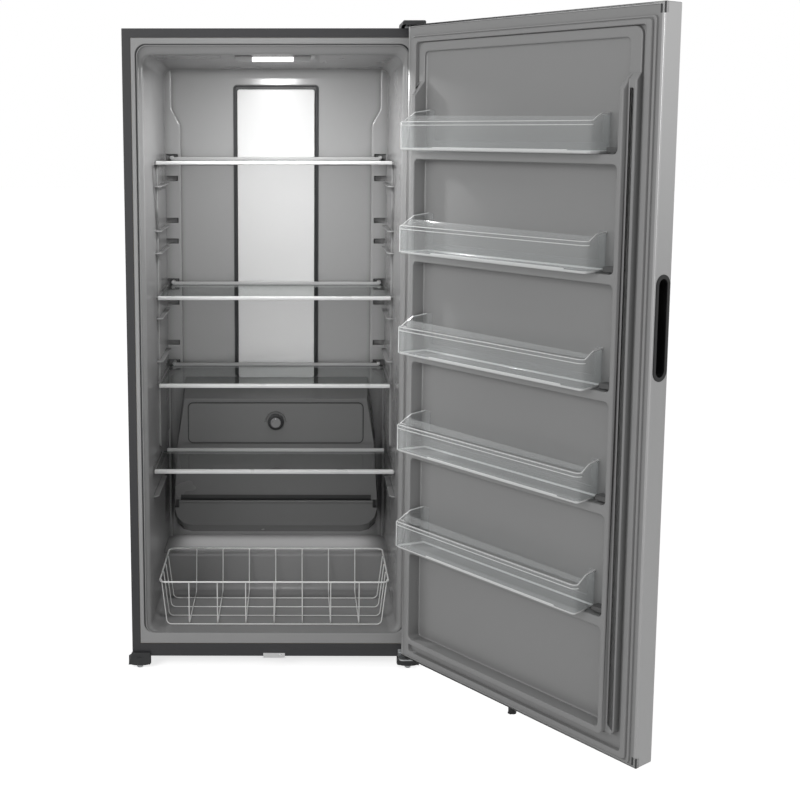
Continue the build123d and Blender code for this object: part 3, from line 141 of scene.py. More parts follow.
def focus(piece, editing=False):
    """Make a piece the only selected one, in edit mode if wanted."""
    if bpy.context.mode == "EDIT_MESH" and bpy.context.object == piece and editing:
        return
    clear_selection()
    bpy.context.view_layer.objects.active = piece
    piece.select_set(True)
    if editing:
        bpy.ops.object.mode_set(mode="EDIT")


def settle(name):
    """Name the new primitive and put its place into its mesh."""
    piece = bpy.context.object
    piece.name = name
    piece.data.name = name
    bpy.ops.object.transform_apply(location=True, rotation=True, scale=True)
    return piece


def block(name, low, high):
    """A cube primitive between two corners."""
    clear_selection()
    size = [(b - a) * MM for a, b in zip(low, high)]
    middle = [(a + b) / 2 * MM for a, b in zip(low, high)]
    bpy.ops.mesh.primitive_cube_add(size=1, location=middle, scale=size)
    return settle(name)


def rod(name, start, end, radius, sides=48):
    """A cylinder primitive between two points."""
    clear_selection()
    a = Vector(start)
    b = Vector(end)
    turn = (b - a).to_track_quat("Z", "Y").to_euler()
    bpy.ops.mesh.primitive_cylinder_add(vertices=sides, radius=radius * MM,
                                        depth=(b - a).length * MM, location=(a + b) / 2 * MM,
                                        rotation=turn)
    return settle(name)


def pick(piece, test, kind="FACE"):
    """Select the faces (centre, normal), edges (middle, direction) or points that pass a test."""
    focus(piece, editing=True)
    bpy.ops.mesh.select_mode(type=kind)
    bpy.ops.mesh.select_all(action="DESELECT")
    cage = bmesh.from_edit_mesh(piece.data)
    if kind == "FACE":
        cage.normal_update()
        for face in cage.faces:
            face.select_set(bool(test(face.calc_center_median() / MM, face.normal)))
    elif kind == "EDGE":
        for edge in cage.edges:
            a, b = (v.co / MM for v in edge.verts)
            edge.select_set(bool(test((a + b) / 2, (b - a).normalized())))
    else:
        for point in cage.verts:
            point.select_set(bool(test(point.co / MM)))
    cage.select_flush_mode()
    bmesh.update_edit_mesh(piece.data)


def pick_all(piece):
    focus(piece, editing=True)
    bpy.ops.mesh.select_all(action="SELECT")


def shift(x=0.0, y=0.0, z=0.0):
    bpy.ops.transform.translate(value=(x * MM, y * MM, z * MM))


def extrude(x=0.0, y=0.0, z=0.0):
    bpy.ops.mesh.extrude_region_move(TRANSFORM_OT_translate={"value": (x * MM, y * MM, z * MM)})


def inset(width, depth=0.0):
    bpy.ops.mesh.inset(thickness=width * MM, depth=depth * MM, use_even_offset=True)


def round_edges(radius, steps=3):
    """Round the selected edges."""
    bpy.ops.mesh.bevel(offset=radius * MM, segments=steps, profile=0.5, affect="EDGES",
                       clamp_overlap=False)


def round_where(piece, test, radius, steps=3):
    """Round the edges (middle, direction) that pass a test."""
    pick(piece, test, "EDGE")
    round_edges(radius, steps)


def drop_faces(piece, test):
    """Delete the faces (centre, normal) that pass a test."""
    pick(piece, test)
    bpy.ops.mesh.delete(type="FACE")


def resize(scale, centre):
    """Scale the selection about a point."""
    bpy.ops.transform.resize(value=scale, center_override=Vector(centre) * MM)


def fit(piece, x=None, y=None, z=None):
    """Scale and move the selected points to the given limits."""
    cage = bmesh.from_edit_mesh(piece.data)
    points = [v.co / MM for v in cage.verts if v.select]
    low = Vector([min(p[i] for p in points) for i in range(3)])
    high = Vector([max(p[i] for p in points) for i in range(3)])
    middle = (low + high) / 2
    scale = [1.0, 1.0, 1.0]
    move = [0.0, 0.0, 0.0]
    for i, wanted in enumerate((x, y, z)):
        if wanted is None:
            continue
        first, last = wanted if isinstance(wanted, tuple) else (wanted, wanted)
        if high[i] - low[i] > 1e-4 and last != first:
            scale[i] = (last - first) / (high[i] - low[i])
        move[i] = (first + last) / 2 - middle[i]
    resize(scale, middle)
    shift(*move)


def slice_at(piece, point, normal, clear_outer=False, fill=False):
    """Cut the whole mesh by a plane."""
    pick_all(piece)
    bpy.ops.mesh.bisect(plane_co=Vector(point) * MM, plane_no=normal, clear_outer=clear_outer,
                        use_fill=fill, threshold=SNAP)


def face_out(piece, inside=False):
    """Merge doubles and turn all faces outwards (or inwards)."""
    pick_all(piece)
    bpy.ops.mesh.remove_doubles(threshold=MERGE)
    bpy.ops.mesh.normals_make_consistent(inside=inside)


def rounded_face(name, x, z, y, radius, steps=None):
    """A plane facing the front with rounded corners."""
    clear_selection()
    middle = Vector(((x[0] + x[1]) / 2, y, (z[0] + z[1]) / 2)) * MM
    bpy.ops.mesh.primitive_plane_add(size=MM, rotation=(math.radians(90), 0, 0), location=middle)
    piece = settle(name)
    pick_all(piece)
    bpy.ops.transform.resize(value=(x[1] - x[0], 1, z[1] - z[0]), center_override=middle)
    pick_all(piece)
    bpy.ops.mesh.bevel(offset=radius * MM, segments=steps or sizes().corner_steps,
                       profile=0.5, affect="VERTICES")
    return piece


def slab(name, x, z, y, radius, steps=None):
    """A plate with rounded corners seen from the front, y[0] to y[1] deep."""
    piece = rounded_face(name, x, z, y[0], radius, steps)
    pick_all(piece)
    extrude(y=y[1] - y[0])
    face_out(piece)
    return piece


def modify(piece, kind, **settings):
    """Add a modifier, set it and apply it."""
    focus(piece)
    bpy.ops.object.modifier_add(type=kind)
    modifier = piece.modifiers[-1]
    for key, value in settings.items():
        setattr(modifier, key, value)
    bpy.ops.object.modifier_apply(modifier=modifier.name)


def soften(piece, radius, steps=3, angle=40):
    """Round every edge sharper than the angle."""
    modify(piece, "BEVEL", width=radius * MM, segments=steps, limit_method="ANGLE",
           angle_limit=math.radians(angle), use_clamp_overlap=False, miter_outer="MITER_ARC")


def thicken(piece, wall):
    """Give an open sheet its wall, inwards."""
    modify(piece, "SOLIDIFY", thickness=wall * MM, offset=-1.0, use_even_offset=True)


def remove(piece):
    clear_selection()
    piece.select_set(True)
    bpy.ops.object.delete()


def combine(piece, other, how="DIFFERENCE"):
    """Cut another piece away, or weld it on, and remove it."""
    clear_selection()
    modify(piece, "BOOLEAN", operation=how, solver="EXACT", object=other)
    remove(other)


def join(pieces, name):
    """Several shapes as one object."""
    clear_selection()
    for piece in pieces:
        piece.select_set(True)
    bpy.context.view_layer.objects.active = pieces[0]
    bpy.ops.object.join()
    whole = bpy.context.object
    whole.name = name
    whole.data.name = name
    return whole


def copy(piece, name, up=0.0):
    """A copy with its own mesh, moved up."""
    focus(piece)
    bpy.ops.object.duplicate(linked=False)
    bpy.context.object.location = (0, 0, up * MM)
    return settle(name)


def mirrored(piece, name):
    """A copy on the other side of the centre plane."""
    twin = copy(piece, name)
    pick_all(twin)
    bpy.ops.transform.resize(value=(-1, 1, 1), center_override=(0, 0, 0))
    bpy.ops.mesh.flip_normals()
    focus(twin)
    return twin


def from_node(node, name):
    """A merged copy of a CAD node, with its flat faces whole again."""
    focus(frame["nodes"][node])
    bpy.ops.object.duplicate(linked=False)
    piece = bpy.context.object
    piece.parent = None
    for key in [k for k in piece.keys() if k.startswith("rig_")]:
        del piece[key]
    piece.data.materials.clear()
    settle(name)
    pick_all(piece)
    bpy.ops.mesh.remove_doubles(threshold=MERGE)
    bpy.ops.mesh.dissolve_limited(angle_limit=math.radians(1.0))
    focus(piece)
    if piece.data.has_custom_normals:
        bpy.ops.mesh.customdata_custom_splitnormals_clear()
    return piece


def reach(node):
    """Lowest and highest corner of a CAD node, in millimetres."""
    low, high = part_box(node)
    return low / MM, high / MM


def across(u):
    """Closed X of a place measured from the door's hinge edge."""
    return HINGE_EDGE - u


def above(h):
    """Closed Y of a height above the door's inner face."""
    return DOOR_INNER + h


def at(u, h, z):
    """A corner on the closed door."""
    return across(u), above(h), z


def swing(piece):
    """Turn a closed-door piece open about the pin."""
    focus(piece)
    angle = math.radians(DOOR_OPEN)
    pin = Vector((*PIN, 0)) * MM
    piece.rotation_euler = (0, 0, angle)
    piece.location = pin - Matrix.Rotation(angle, 4, "Z") @ pin
    bpy.ops.object.transform_apply(location=True, rotation=True, scale=True)


def coat(piece, material):
    """Give a whole piece one material, kept when it is joined to others."""
    piece.data.materials.clear()
    piece.data.materials.append(material)
    return piece


def done(piece, body, material, replaced=(), smooth=38, weighted=True):
    """Shade a finished piece, give it its material and let it ride on its body."""
    focus(piece)
    bpy.ops.object.shade_smooth_by_angle(angle=math.radians(smooth))
    if weighted:
        modify(piece, "WEIGHTED_NORMAL", mode="FACE_AREA", weight=50, keep_sharp=True)
    if material:
        coat(piece, material)
    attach(piece, body)
    if replaced:
        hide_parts(*replaced)
    clear_selection()


# Materials

def add_node(tree, kind, values=None, links=None, **settings):
    """Add a shader node with its settings, its fixed inputs and its links."""
    node = tree.nodes.new("ShaderNode" + kind)
    for key, value in settings.items():
        setattr(node, key, value)
    for key, value in (values or {}).items():
        node.inputs[key].default_value = value
    for key, source in (links or {}).items():
        tree.links.new(source, node.inputs[key])
    return node


def blank(name):
    """A new material, its empty node tree and its Object coordinates."""
    material = bpy.data.materials.new(name)
    material.use_nodes = True
    tree = material.node_tree
    tree.nodes.clear()
    return material, tree, add_node(tree, "TexCoord").outputs["Object"]


def noise(tree, place, scale, detail):
    return add_node(tree, "TexNoise", {"Scale": scale, "Detail": detail},
                    {"Vector": place}).outputs["Fac"]


def remap(tree, value, low, high, start=0.0, end=1.0):
    """A value between start and end, as one between low and high."""
    limits = {"From Min": start, "From Max": end, "To Min": low, "To Max": high}
    return add_node(tree, "MapRange", limits, {"Value": value}).outputs["Result"]


def maths(tree, operation, *terms):
    """Arithmetic on plain numbers and the outputs of nodes."""
    node = add_node(tree, "Math", operation=operation)
    for socket, term in zip(node.inputs, terms):
        if isinstance(term, float):
            socket.default_value = term
        else:
            tree.links.new(term, socket)
    return node.outputs["Value"]


def blend(tree, share, first, second):
    """Two shaders mixed; the share is that of the second."""
    return add_node(tree, "MixShader", None, {0: share, 1: first, 2: second}).outputs["Shader"]


def show(tree, shader):
    add_node(tree, "OutputMaterial", None, {"Surface": shader})


def surface(name, colour, rough, metallic=0.0, mottle=0.04, mottle_mm=60.0, grain_mm=2.0,
            grain=0.08, stretch=(1.0, 1.0, 1.0), fixed=None, thinned=0.0):
    """A moulded, painted or rolled surface: slow colour drift, varied gloss, a fine grain and,
    where asked, painted shade in corners.
    """
    old = bpy.data.materials.get(name)
    if old:
        return old
    material, tree, place = blank(name)
    mapped = add_node(tree, "Mapping", {"Scale": stretch}, {"Vector": place}).outputs["Vector"]
    slow = noise(tree, mapped, 1000.0 / mottle_mm, 3.0)
    fine = noise(tree, mapped, 1000.0 / grain_mm, 2.0)
    dark = [c * (1.0 - mottle) for c in colour] + [1.0]
    pale = [min(c * (1.0 + mottle), 1.0) for c in colour] + [1.0]
    # A mix node lists its inputs for numbers and vectors first: 6 and 7 are the colours
    tint = add_node(tree, "Mix", {6: dark, 7: pale}, {0: slow}, data_type="RGBA").outputs[2]
    if thinned:
        # Painted shade: the colour darkens where ambient occlusion finds tight corners and
        # recesses
        corners = add_node(tree, "AmbientOcclusion", {"Distance": 0.045}, samples=8)
        shade = remap(tree, corners.outputs["AO"], 1.0 - thinned, 1.0, 0.25, 0.8)
        tint = add_node(tree, "VectorMath", None, {0: tint, 1: shade},
                        operation="MULTIPLY").outputs["Vector"]
    bump = add_node(tree, "Bump", {"Strength": grain, "Distance": 0.0003}, {"Height": fine})
    shader = add_node(tree, "BsdfPrincipled", {"Metallic": metallic, **(fixed or {})},
                      {"Base Color": tint, "Roughness": remap(tree, slow, *rough, 0.3, 0.7),
                       "Normal": bump.outputs["Normal"]})
    show(tree, shader.outputs["BSDF"])
    return material


def finish(name, colour, rough, **look):
    """A function that makes one such surface; its colour is a panel colour or sRGB hex."""
    def make():
        panel = colours()
        tone = getattr(panel, colour) if hasattr(panel, colour) else linear(colour)
        return surface(name, tone, rough, **look)
    return make


# Baked enamel on folded steel sheet: even dark grey, with the faint peel of sprayed paint
enamel = finish("satin_dark_grey_enamel", "cabinet", (0.35, 0.38), grain_mm=3.0, grain=0.12,
                mottle=0.02, mottle_mm=300.0)
# Vacuum-formed polystyrene sheet: silver grey and fairly glossy, slightly wavy, with painted shade
# darkening its corners
liner_sheet = finish("formed_silver_polystyrene", "liner", (0.20, 0.26), grain_mm=30.0,
                     grain=0.05, mottle=0.02, mottle_mm=220.0, thinned=0.5)
# The same sheet on the door, a shade paler and with a duller skin, with lighter painted shade in
# its corners
door_sheet = finish("formed_grey_polystyrene", "door", (0.28, 0.34), grain_mm=30.0, grain=0.05,
                    mottle=0.02, mottle_mm=220.0, thinned=0.3)
# Extruded ABS frame: light grey with a soft shine
frame_abs = finish("satin_light_grey_abs", "frame", (0.28, 0.36), grain=0.05)
# Injection-moulded ABS: charcoal, low shine, fine mould texture
cover_abs = finish("moulded_charcoal_abs", "cover", (0.22, 0.28), grain_mm=30.0, grain=0.04,
                   mottle=0.03, mottle_mm=200.0)
# Smooth grey ABS cap of the dial
cap_abs = finish("smooth_grey_abs", "707070", (0.24, 0.30), grain=0.04, mottle=0.02)
# Moulded white ABS: bright and smooth
duct_abs = finish("moulded_white_abs", "duct", (0.30, 0.38), grain=0.03, mottle=0.01)
# Moulded pale grey ABS clipped on the glass
trim_abs = finish("pale_grey_abs", "trim", (0.25, 0.35), grain=0.04, mottle=0.02)
# Extruded soft vinyl: dull, with slow waves from its fitting
gasket_pvc = finish("soft_grey_vinyl", "gasket", (0.45, 0.55), grain_mm=25.0, grain=0.15,
                    mottle=0.04)
# Dark soft vinyl of the compressor mounts and of the strip deep in the frame's groove; on the
# strip its dark is also painted shadow of the gap
gap_shadow_and_mount_vinyl = finish("dark_soft_vinyl", "2A2B2C", (0.55, 0.65), grain=0.1)
# Moulded black-grey ABS with a fine spark-eroded texture
dark_abs = finish("textured_dark_abs", "plastic", (0.42, 0.55), grain_mm=1.4, grain=0.2)
# Near-black smooth ABS of the grip pocket
grip_abs = finish("smooth_black_abs", "161617", (0.30, 0.40), grain=0.08)
# Dark ink of the printed scale
dark_print = finish("printed_dark_ink", "303030", (0.40, 0.50), grain=0.05)
# Stainless sheet brushed up and down: metal with fine upright scratches under a clear coat.
# Real scratches are about 0.1 mm apart; drawn near 1 mm so that they show
brushed_steel = finish("brushed_stainless", "steel", (0.34, 0.39), metallic=1.0, mottle=0.02,
                       mottle_mm=40.0, grain_mm=1.2, grain=0.05, stretch=(1.0, 1.0, 0.03))
# Steel wire dipped in white polyethylene: smooth and slightly waxy
coated_wire = finish("white_coated_wire", "wire", (0.30, 0.40), grain_mm=8.0, grain=0.05,
                     mottle=0.02)
# Polished chrome plate
chrome = finish("chromed_steel", "DCDCDC", (0.06, 0.12), metallic=1.0, mottle=0.01, grain=0.02)
# Bright zinc plate on stamped steel: cool and softly cloudy
zinc = finish("zinc_plated_steel", "B9BBBC", (0.28, 0.42), metallic=1.0, mottle=0.06,
              mottle_mm=12.0, grain=0.06)
# Hot-dip zinc sheet with its faint spangle
galvanised = finish("galvanised_sheet", "A9ACAE", (0.38, 0.52), metallic=1.0, mottle=0.10,
                    mottle_mm=14.0, grain_mm=5.0, grain=0.06)
# Rigid polyurethane foam: buff, dull, finely pitted
foam = finish("rigid_urethane_foam", "E2CF9A", (0.80, 0.92), grain_mm=3.0, grain=0.5, mottle=0.06)
# Black stoved enamel on the compressor and condenser
black_enamel = finish("black_stoved_enamel", "1B1B1C", (0.30, 0.42), grain_mm=3.0, grain=0.12)
# Mill-finish aluminium fins and tube
aluminium = finish("mill_aluminium", "C4C6C8", (0.30, 0.42), metallic=1.0, mottle=0.04)
# Natural nylon: off-white and waxy
nylon = finish("natural_nylon", "D6D4CC", (0.38, 0.48), grain=0.05)
# Frosted lamp cover, lit from behind
lamp_lens = finish("frosted_lamp_cover", "F4F4F2", (0.30, 0.40), mottle=0.01, grain_mm=1.5,
                   grain=0.1, fixed={"Emission Color": (1.0, 1.0, 1.0, 1.0),
                                     "Emission Strength": 1.6})


def outer_side(tree):
    """One on a face's outer side and zero on its inner side, where clear sheet adds nothing."""
    side = add_node(tree, "NewGeometry")
    return maths(tree, "SUBTRACT", 1.0, side.outputs["Backfacing"])


def see_through(name, tint, gloss, cover, edge, rough):
    """Clear sheet: what lies behind shows through, more gloss and body at grazing angles."""
    old = bpy.data.materials.get(name)
    if old:
        return old
    material, tree, place = blank(name)
    ripple = noise(tree, place, 12.0, 1.0)
    wave = add_node(tree, "Bump", {"Strength": 0.06, "Distance": 0.001}, {"Height": ripple})
    through = add_node(tree, "BsdfTransparent", {"Color": (*tint, 1.0)})
    body = add_node(tree, "BsdfPrincipled", {"Base Color": (*gloss, 1.0)},
                    {"Roughness": remap(tree, ripple, *rough), "Normal": wave.outputs["Normal"]})
    angle = add_node(tree, "Fresnel", {"IOR": 1.5}).outputs["Fac"]
    share = maths(tree, "MULTIPLY", remap(tree, angle, cover, edge, 0.04), outer_side(tree))
    show(tree, blend(tree, share, through.outputs["BSDF"], body.outputs["BSDF"]))
    return material


def shelf_glass():
    """Tempered float glass: clear and mirror-like, with a faint green tint."""
    name = "tempered_float_glass"
    old = bpy.data.materials.get(name)
    if old:
        return old
    material, tree, place = blank(name)
    ripple = noise(tree, place, 6.0, 1.0)
    through = add_node(tree, "BsdfTransparent", None, {"Color": remap(tree, ripple, 0.88, 0.92)})
    mirror = add_node(tree, "BsdfGlossy", {"Color": (*colours().glass, 1.0)},
                      {"Roughness": remap(tree, ripple, 0.01, 0.03)})
    angle = add_node(tree, "Fresnel", {"IOR": 1.45}).outputs["Fac"]
    share = maths(tree, "MULTIPLY", angle, outer_side(tree))
    plate = blend(tree, share, through.outputs["BSDF"], mirror.outputs["BSDF"])
    # The long way through the plate makes its ground side edges dark
    side = add_node(tree, "NewGeometry").outputs["Normal"]
    parts = add_node(tree, "SeparateXYZ", None, {"Vector": side})
    edge = maths(tree, "LESS_THAN", maths(tree, "ABSOLUTE", parts.outputs["Z"]), 0.5)
    ground = add_node(tree, "BsdfPrincipled",
                      {"Base Color": (*linear("3E4543"), 1.0), "Roughness": 0.25})
    show(tree, blend(tree, edge, plate, ground.outputs["BSDF"]))
    return material


def bin_plastic():
    """Injection-moulded clear styrene: see-through, whitish where it is seen edge on."""
    return see_through("clear_moulded_styrene", (0.95, 0.96, 0.96), colours().clear, 0.20, 0.85,
                       (0.06, 0.12))


def bin_edges():
    """The same styrene at rims and corners, given a whiter, more opaque body: partly the thicker
    plastic, partly painted highlight along the edges.
    """
    return see_through("clear_styrene_rims", (0.9, 0.9, 0.9), colours().clear, 0.85, 0.98,
                       (0.10, 0.16))


NODE_FINISHES = {node: make for make, nodes in (
    (enamel, "cabinet_shell base_pan"),
    (galvanised, "back_panel machine_bulkhead rear_base machine_cover"),
    (liner_sheet, "inner_liner"),
    (foam, "cabinet_foam door_foam"),
    (frame_abs, "front_frame"),
    # The frame seal is made dark in part as painted shadow of the gap
    (gap_shadow_and_mount_vinyl, "frame_seal compressor_mounts"),
    (trim_abs, "led_housing"),
    (lamp_lens, "led_lens"),
    (cover_abs, "duct_channel evaporator_cover control_dial"),
    (duct_abs, "duct_cover evaporator_fan thermostat"),
    (aluminium, "evaporator_coil"),
    (dark_abs, "evaporator_fan_motor drain_pan foot_covers top_hinge_cover"),
    (dark_abs, "door_cap_top door_cap_bottom"),
    (coated_wire, "basket"),
    (nylon, "roller_left roller_right door_bushings"),
    (black_enamel, "compressor condenser_coil"),
    (grip_abs, "power_inlet handle_cup lock_peg"),
    (zinc, "leg_stud_left leg_nut_left leg_stud_right leg_nut_right bottom_hinge top_hinge"),
    (chrome, "lock_strike"),
    (brushed_steel, "door_skin"),
    (door_sheet, "door_liner bin_brackets"),
    (gasket_pvc, "door_gasket"),
) for node in nodes.split()}


def node_finish(node):
    if node.endswith("_glass"):
        return shelf_glass
    if node.endswith("_trim"):
        return trim_abs
    return NODE_FINISHES.get(node, bin_plastic)


class Step:
    """What every operator here shares: it builds its pieces and is done."""

    def execute(self, context):
        self.build()
        return {"FINISHED"}


class FRIDGE_OT_node_finishes(Step, Operator):
    """Give every CAD node the material of the real piece"""
    bl_idname = "fridge.node_finishes"
    bl_label = "Finishes of the CAD pieces"

    def build(self):
        for name, node in frame["nodes"].items():
            coat(node, node_finish(name)())


class FRIDGE_OT_cabinet(Step, Operator):
    """Painted outer wrap and the light frame round the opening"""
    bl_idname = "fridge.cabinet"
    bl_label = "Cabinet wrap and frame"

    def build(self):
        low, high = reach("cabinet_shell")
        wrap = block("cabinet_wrap", low, high)
        pick(wrap, lambda c, n: n.y < -0.9)
        inset(20)
        fit(wrap, x=(-393.4, 393.4), z=(37.2, 1828))
        bpy.ops.mesh.delete(type="FACE")
        pick(wrap, lambda c, n: n.y > 0.9)
        inset(15)
        fit(wrap, x=(-401.5, 401.5), z=(37.2, 1837))
        bpy.ops.mesh.delete(type="FACE")
        drop_faces(wrap, lambda c, n: n.z < -0.9)
        soften(wrap, sizes().sheet_edge / MM, 3)
        thicken(wrap, 1)
        done(wrap, "cabinet", enamel(), ["cabinet_shell"])

        ring = block("opening_frame", (-393.3, 0.2, 74.7), (393.3, 9, 1827.9))
        hole = slab("hole", (-381, 381), (107, 1810.5), (-5, 15), 29)
        combine(ring, hole)
        soften(ring, 2.2, 3)
        done(ring, "cabinet", frame_abs(), ["front_frame"])


class FRIDGE_OT_liner(Step, Operator):
    """Formed inner liner: tub, machine hump, rear columns with hook pockets, side ledges"""
    bl_idname = "fridge.liner"
    bl_label = "Inner liner"

    def tub(self):
        """Front flange and walls, drawn back ring by ring to the coved rear wall."""
        rings = (
            (5, 374.4, 1805), (9, 371.8, 1800), (12, 367, 1791),
            (15, 363.6, 1784.5), (20, 361.9, 1781.6), (30, 361.5, 1781),
            (270, 359.8, 1773.3), (512, 358.1, 1765.5), (522, 357.4, 1764.6),
            (532, 354.8, 1761), (539, 350, 1755), (543.5, 343, 1746),
            (545, 334, 1736),
        )
        piece = rounded_face("inner_liner_tub", (-374.5, 374.5), (FLOOR, 1805.5), 0.6, 26.5)
        pick_all(piece)
        for y, half, high in rings:
            extrude()
            fit(piece, x=(-half, half), y=y, z=(FLOOR, high))
        face_out(piece, inside=True)
        drop_faces(piece, lambda c, n: c.y < 1)
        slice_at(piece, (0, 0, 226.5), (0, 0, 1))
        slice_at(piece, (0, 363, 0), (0, 1, 0))
        drop_faces(piece, lambda c, n: c.z < 226.4 and c.y > 363.1)
        thicken(piece, LINER_SHEET)
        return piece

    def hump(self):
        """Step over the machine compartment, with a rounded front edge."""
        piece = block("hump", (-360.5, 362, 105.5), (360.5, 547, 228))
        round_where(piece, lambda m, d: m.y < 363 and m.z > 227, 13, 6)
        drop_faces(piece, lambda c, n: n.z < -0.9 or n.y > 0.9 or abs(n.x) > 0.9)
        thicken(piece, LINER_SHEET)
        cove = block("cove", (-360.5, 344, 105.5), (360.5, 363, 125))
        hollow = rod("hollow", (-370, 343, 126.6), (370, 343, 126.6), 19, 64)
        combine(cove, hollow)
        return join([piece, cove], "hump")

    def column(self):
        """Right rear column: it flares below the top and has two pockets for each shelf place."""
        levels = ((1650, 333), (1637, 331), (1622, 322.8), (1606, 314.2), (1594, 307.6),
                  (1582, 306), (804, 306), (796, 309), (785, 326), (774, 343),
                  (766, 347))
        piece = block("column", (290, 527, 226), (361, 548, 1776))
        for height, _ in levels:
            slice_at(piece, (0, 0, height), (0, 0, 1))
        spans = [(1776, 333)] + list(levels) + [(226, 347)]
        for height, edge in spans:
            pick(piece, lambda p: p.x < 291 and abs(p.z - height) < 0.5, "VERT")
            shift(x=edge - 290)
        round_where(piece, lambda m, d: m.y < 528 and m.x < 350 and abs(d.z) > 0.4, 6, 5)
        for index, height in enumerate(POCKETS):
            busy = any(hooked and abs(height - top - 3) < 1 for _, top, *_, hooked in SHELVES)
            half = 12 if busy else 9
            cutter = block("pocket", (317, 520, height - half), (354, 546, height + half))
            pick(cutter, lambda p: p.x < 320 and p.y < 521, "VERT")
            shift(x=-3)
            pick(cutter, lambda p: p.y > 545, "VERT")
            resize((0.8, 1, 0.7), (335.5, 546, height))
            combine(piece, cutter)
        return piece

    def side_panel(self):
        """Raised side panel that carries the ledges, with a rounded upper front corner."""
        piece = block("side_panel", (353.5, 275, 596), (361, 529, 1479))
        round_where(piece, lambda m, d: abs(d.x) > 0.9 and m.y < 276, 16, 5)
        round_where(piece, lambda m, d: m.x < 354 and abs(d.x) < 0.5, 3, 3)
        return piece

    def ledge(self, top, inner, front, back):
        """Rib under a shelf's edge: rounded front end, hollow below."""
        piece = block("ledge", (inner, front, top - 5), (361, back, top))
        round_where(piece, lambda m, d: abs(d.z) > 0.9 and m.y < front + 1
                    and m.x < inner + 1, 17, 6)
        round_where(piece, lambda m, d: m.x < 360.5 and abs(d.z) < 0.5, 1.8, 2)
        return piece

    def build(self):
        parts = [self.tub(), self.hump()]
        column = self.column()
        soften(column, 1.6, 2, 50)
        sides = [column, self.side_panel()]
        for height in POCKETS:
            sides.append(self.ledge(height - 3 - 8.35, 340, 250, 490))
        low_top = SHELVES[3][1] - 8.35
        for top in (low_top, low_top - 75):
            sides.append(self.ledge(top, 345, 119, 345))
        right = join(sides, "liner_right")
        left = mirrored(right, "liner_left")
        whole = join(parts + [right, left], "inner_liner_form")
        done(whole, "cabinet", liner_sheet(), ["inner_liner"])


class FRIDGE_OT_lamp(Step, Operator):
    """Ceiling lamp: housing and frosted cover"""
    bl_idname = "fridge.lamp"
    bl_label = "Ceiling lamp"

    def build(self):
        low, high = reach("led_housing")
        housing = block("lamp_housing", (low.x, 42, low.z + 0.3), (high.x, high.y, high.z))
        pick(housing, lambda p: p.z < low.z + 1, "VERT")
        resize((0.97, 0.9, 1), (0, 56, low.z))
        soften(housing, 2, 3)
        done(housing, "cabinet", liner_sheet(), ["led_housing"])
        low, high = reach("led_lens")
        lens = block("lamp_cover", (low.x, 38.5, low.z + 1.5), (high.x, high.y, 1777.5))
        round_where(lens, lambda m, d: abs(d.z) > 0.9, 4, 4)
        soften(lens, 1.5, 3, 60)
        done(lens, "cabinet", lamp_lens(), ["led_lens"])


class FRIDGE_OT_duct(Step, Operator):
    """Air duct: dark channel and white front panel"""
    bl_idname = "fridge.duct"
    bl_label = "Air duct"

    def build(self):
        low, high = reach("duct_channel")
        channel = slab("duct_channel_rim", (low.x, high.x), (low.z, high.z), (541, 545), 12)
        pick(channel, lambda c, n: n.y < -0.9)
        inset(4)
        inset(2.5, -2.2)
        soften(channel, 1.2, 2, 50)
        done(channel, "cabinet", dark_abs(), ["duct_channel"])
        low, high = reach("duct_cover")
        panel = slab("duct_panel", (low.x, high.x), (low.z, high.z), (527.2, 541.5), 8)
        pick(panel, lambda c, n: n.y < -0.9)
        inset(1.6, 0)
        shift(y=-0.2)
        soften(panel, 1.8, 4, 50)
        done(panel, "cabinet", duct_abs(), ["duct_cover"])


class FRIDGE_OT_evaporator_cover(Step, Operator):
    """Moulded cover over the evaporator: sloping face, framed panel, intake slot, lower tray"""
    bl_idname = "fridge.evaporator_cover"
    bl_label = "Evaporator cover"

    def band(self, name, spare, depth):
        """Ring along the panel's seam, narrowed on both sides."""
        outer = slab(name, (spare - 281, 281 - spare), (581 + spare, 716 - spare), depth,
                     18 - spare, 6)
        middle = slab("middle", (-277 - spare, 277 + spare), (585 - spare, 712 + spare),
                      (385, 393), 14 + spare, 6)
        combine(outer, middle)
        return outer

    def build(self):
        cover = from_node("evaporator_cover", "evaporator_cover_form")
        combine(cover, self.band("seam", 0, (386, 391.6)))
        for side in (-1, 1):
            low, high = sorted((side * 311.5, side * 345))
            notch = block("notch", (low, 380, 369), (high, 412, 396))
            combine(cover, notch)
        lip = block("lip", (-311, 386.4, 384), (311, 391, 394.3))
        round_where(lip, lambda m, d: abs(d.x) > 0.9 and m.y < 387, 3.4, 5)
        # Near-black ring at the floor of the seam: painted shadow that makes the seam read as a
        # dark line
        ring = self.band("ring", 0.4, (390.4, 391.8))
        # Near-black plate behind the slot and notches: painted shade seen through them
        baffle = coat(block("baffle", (-322, 399, 362), (322, 400.5, 420)), grip_abs())
        parts = [coat(cover, cover_abs()), coat(lip, cover_abs()), coat(ring, grip_abs()), baffle]
        cover = join(parts, "evaporator_cover_form")
        done(cover, "cabinet", None, ["evaporator_cover"], weighted=False)


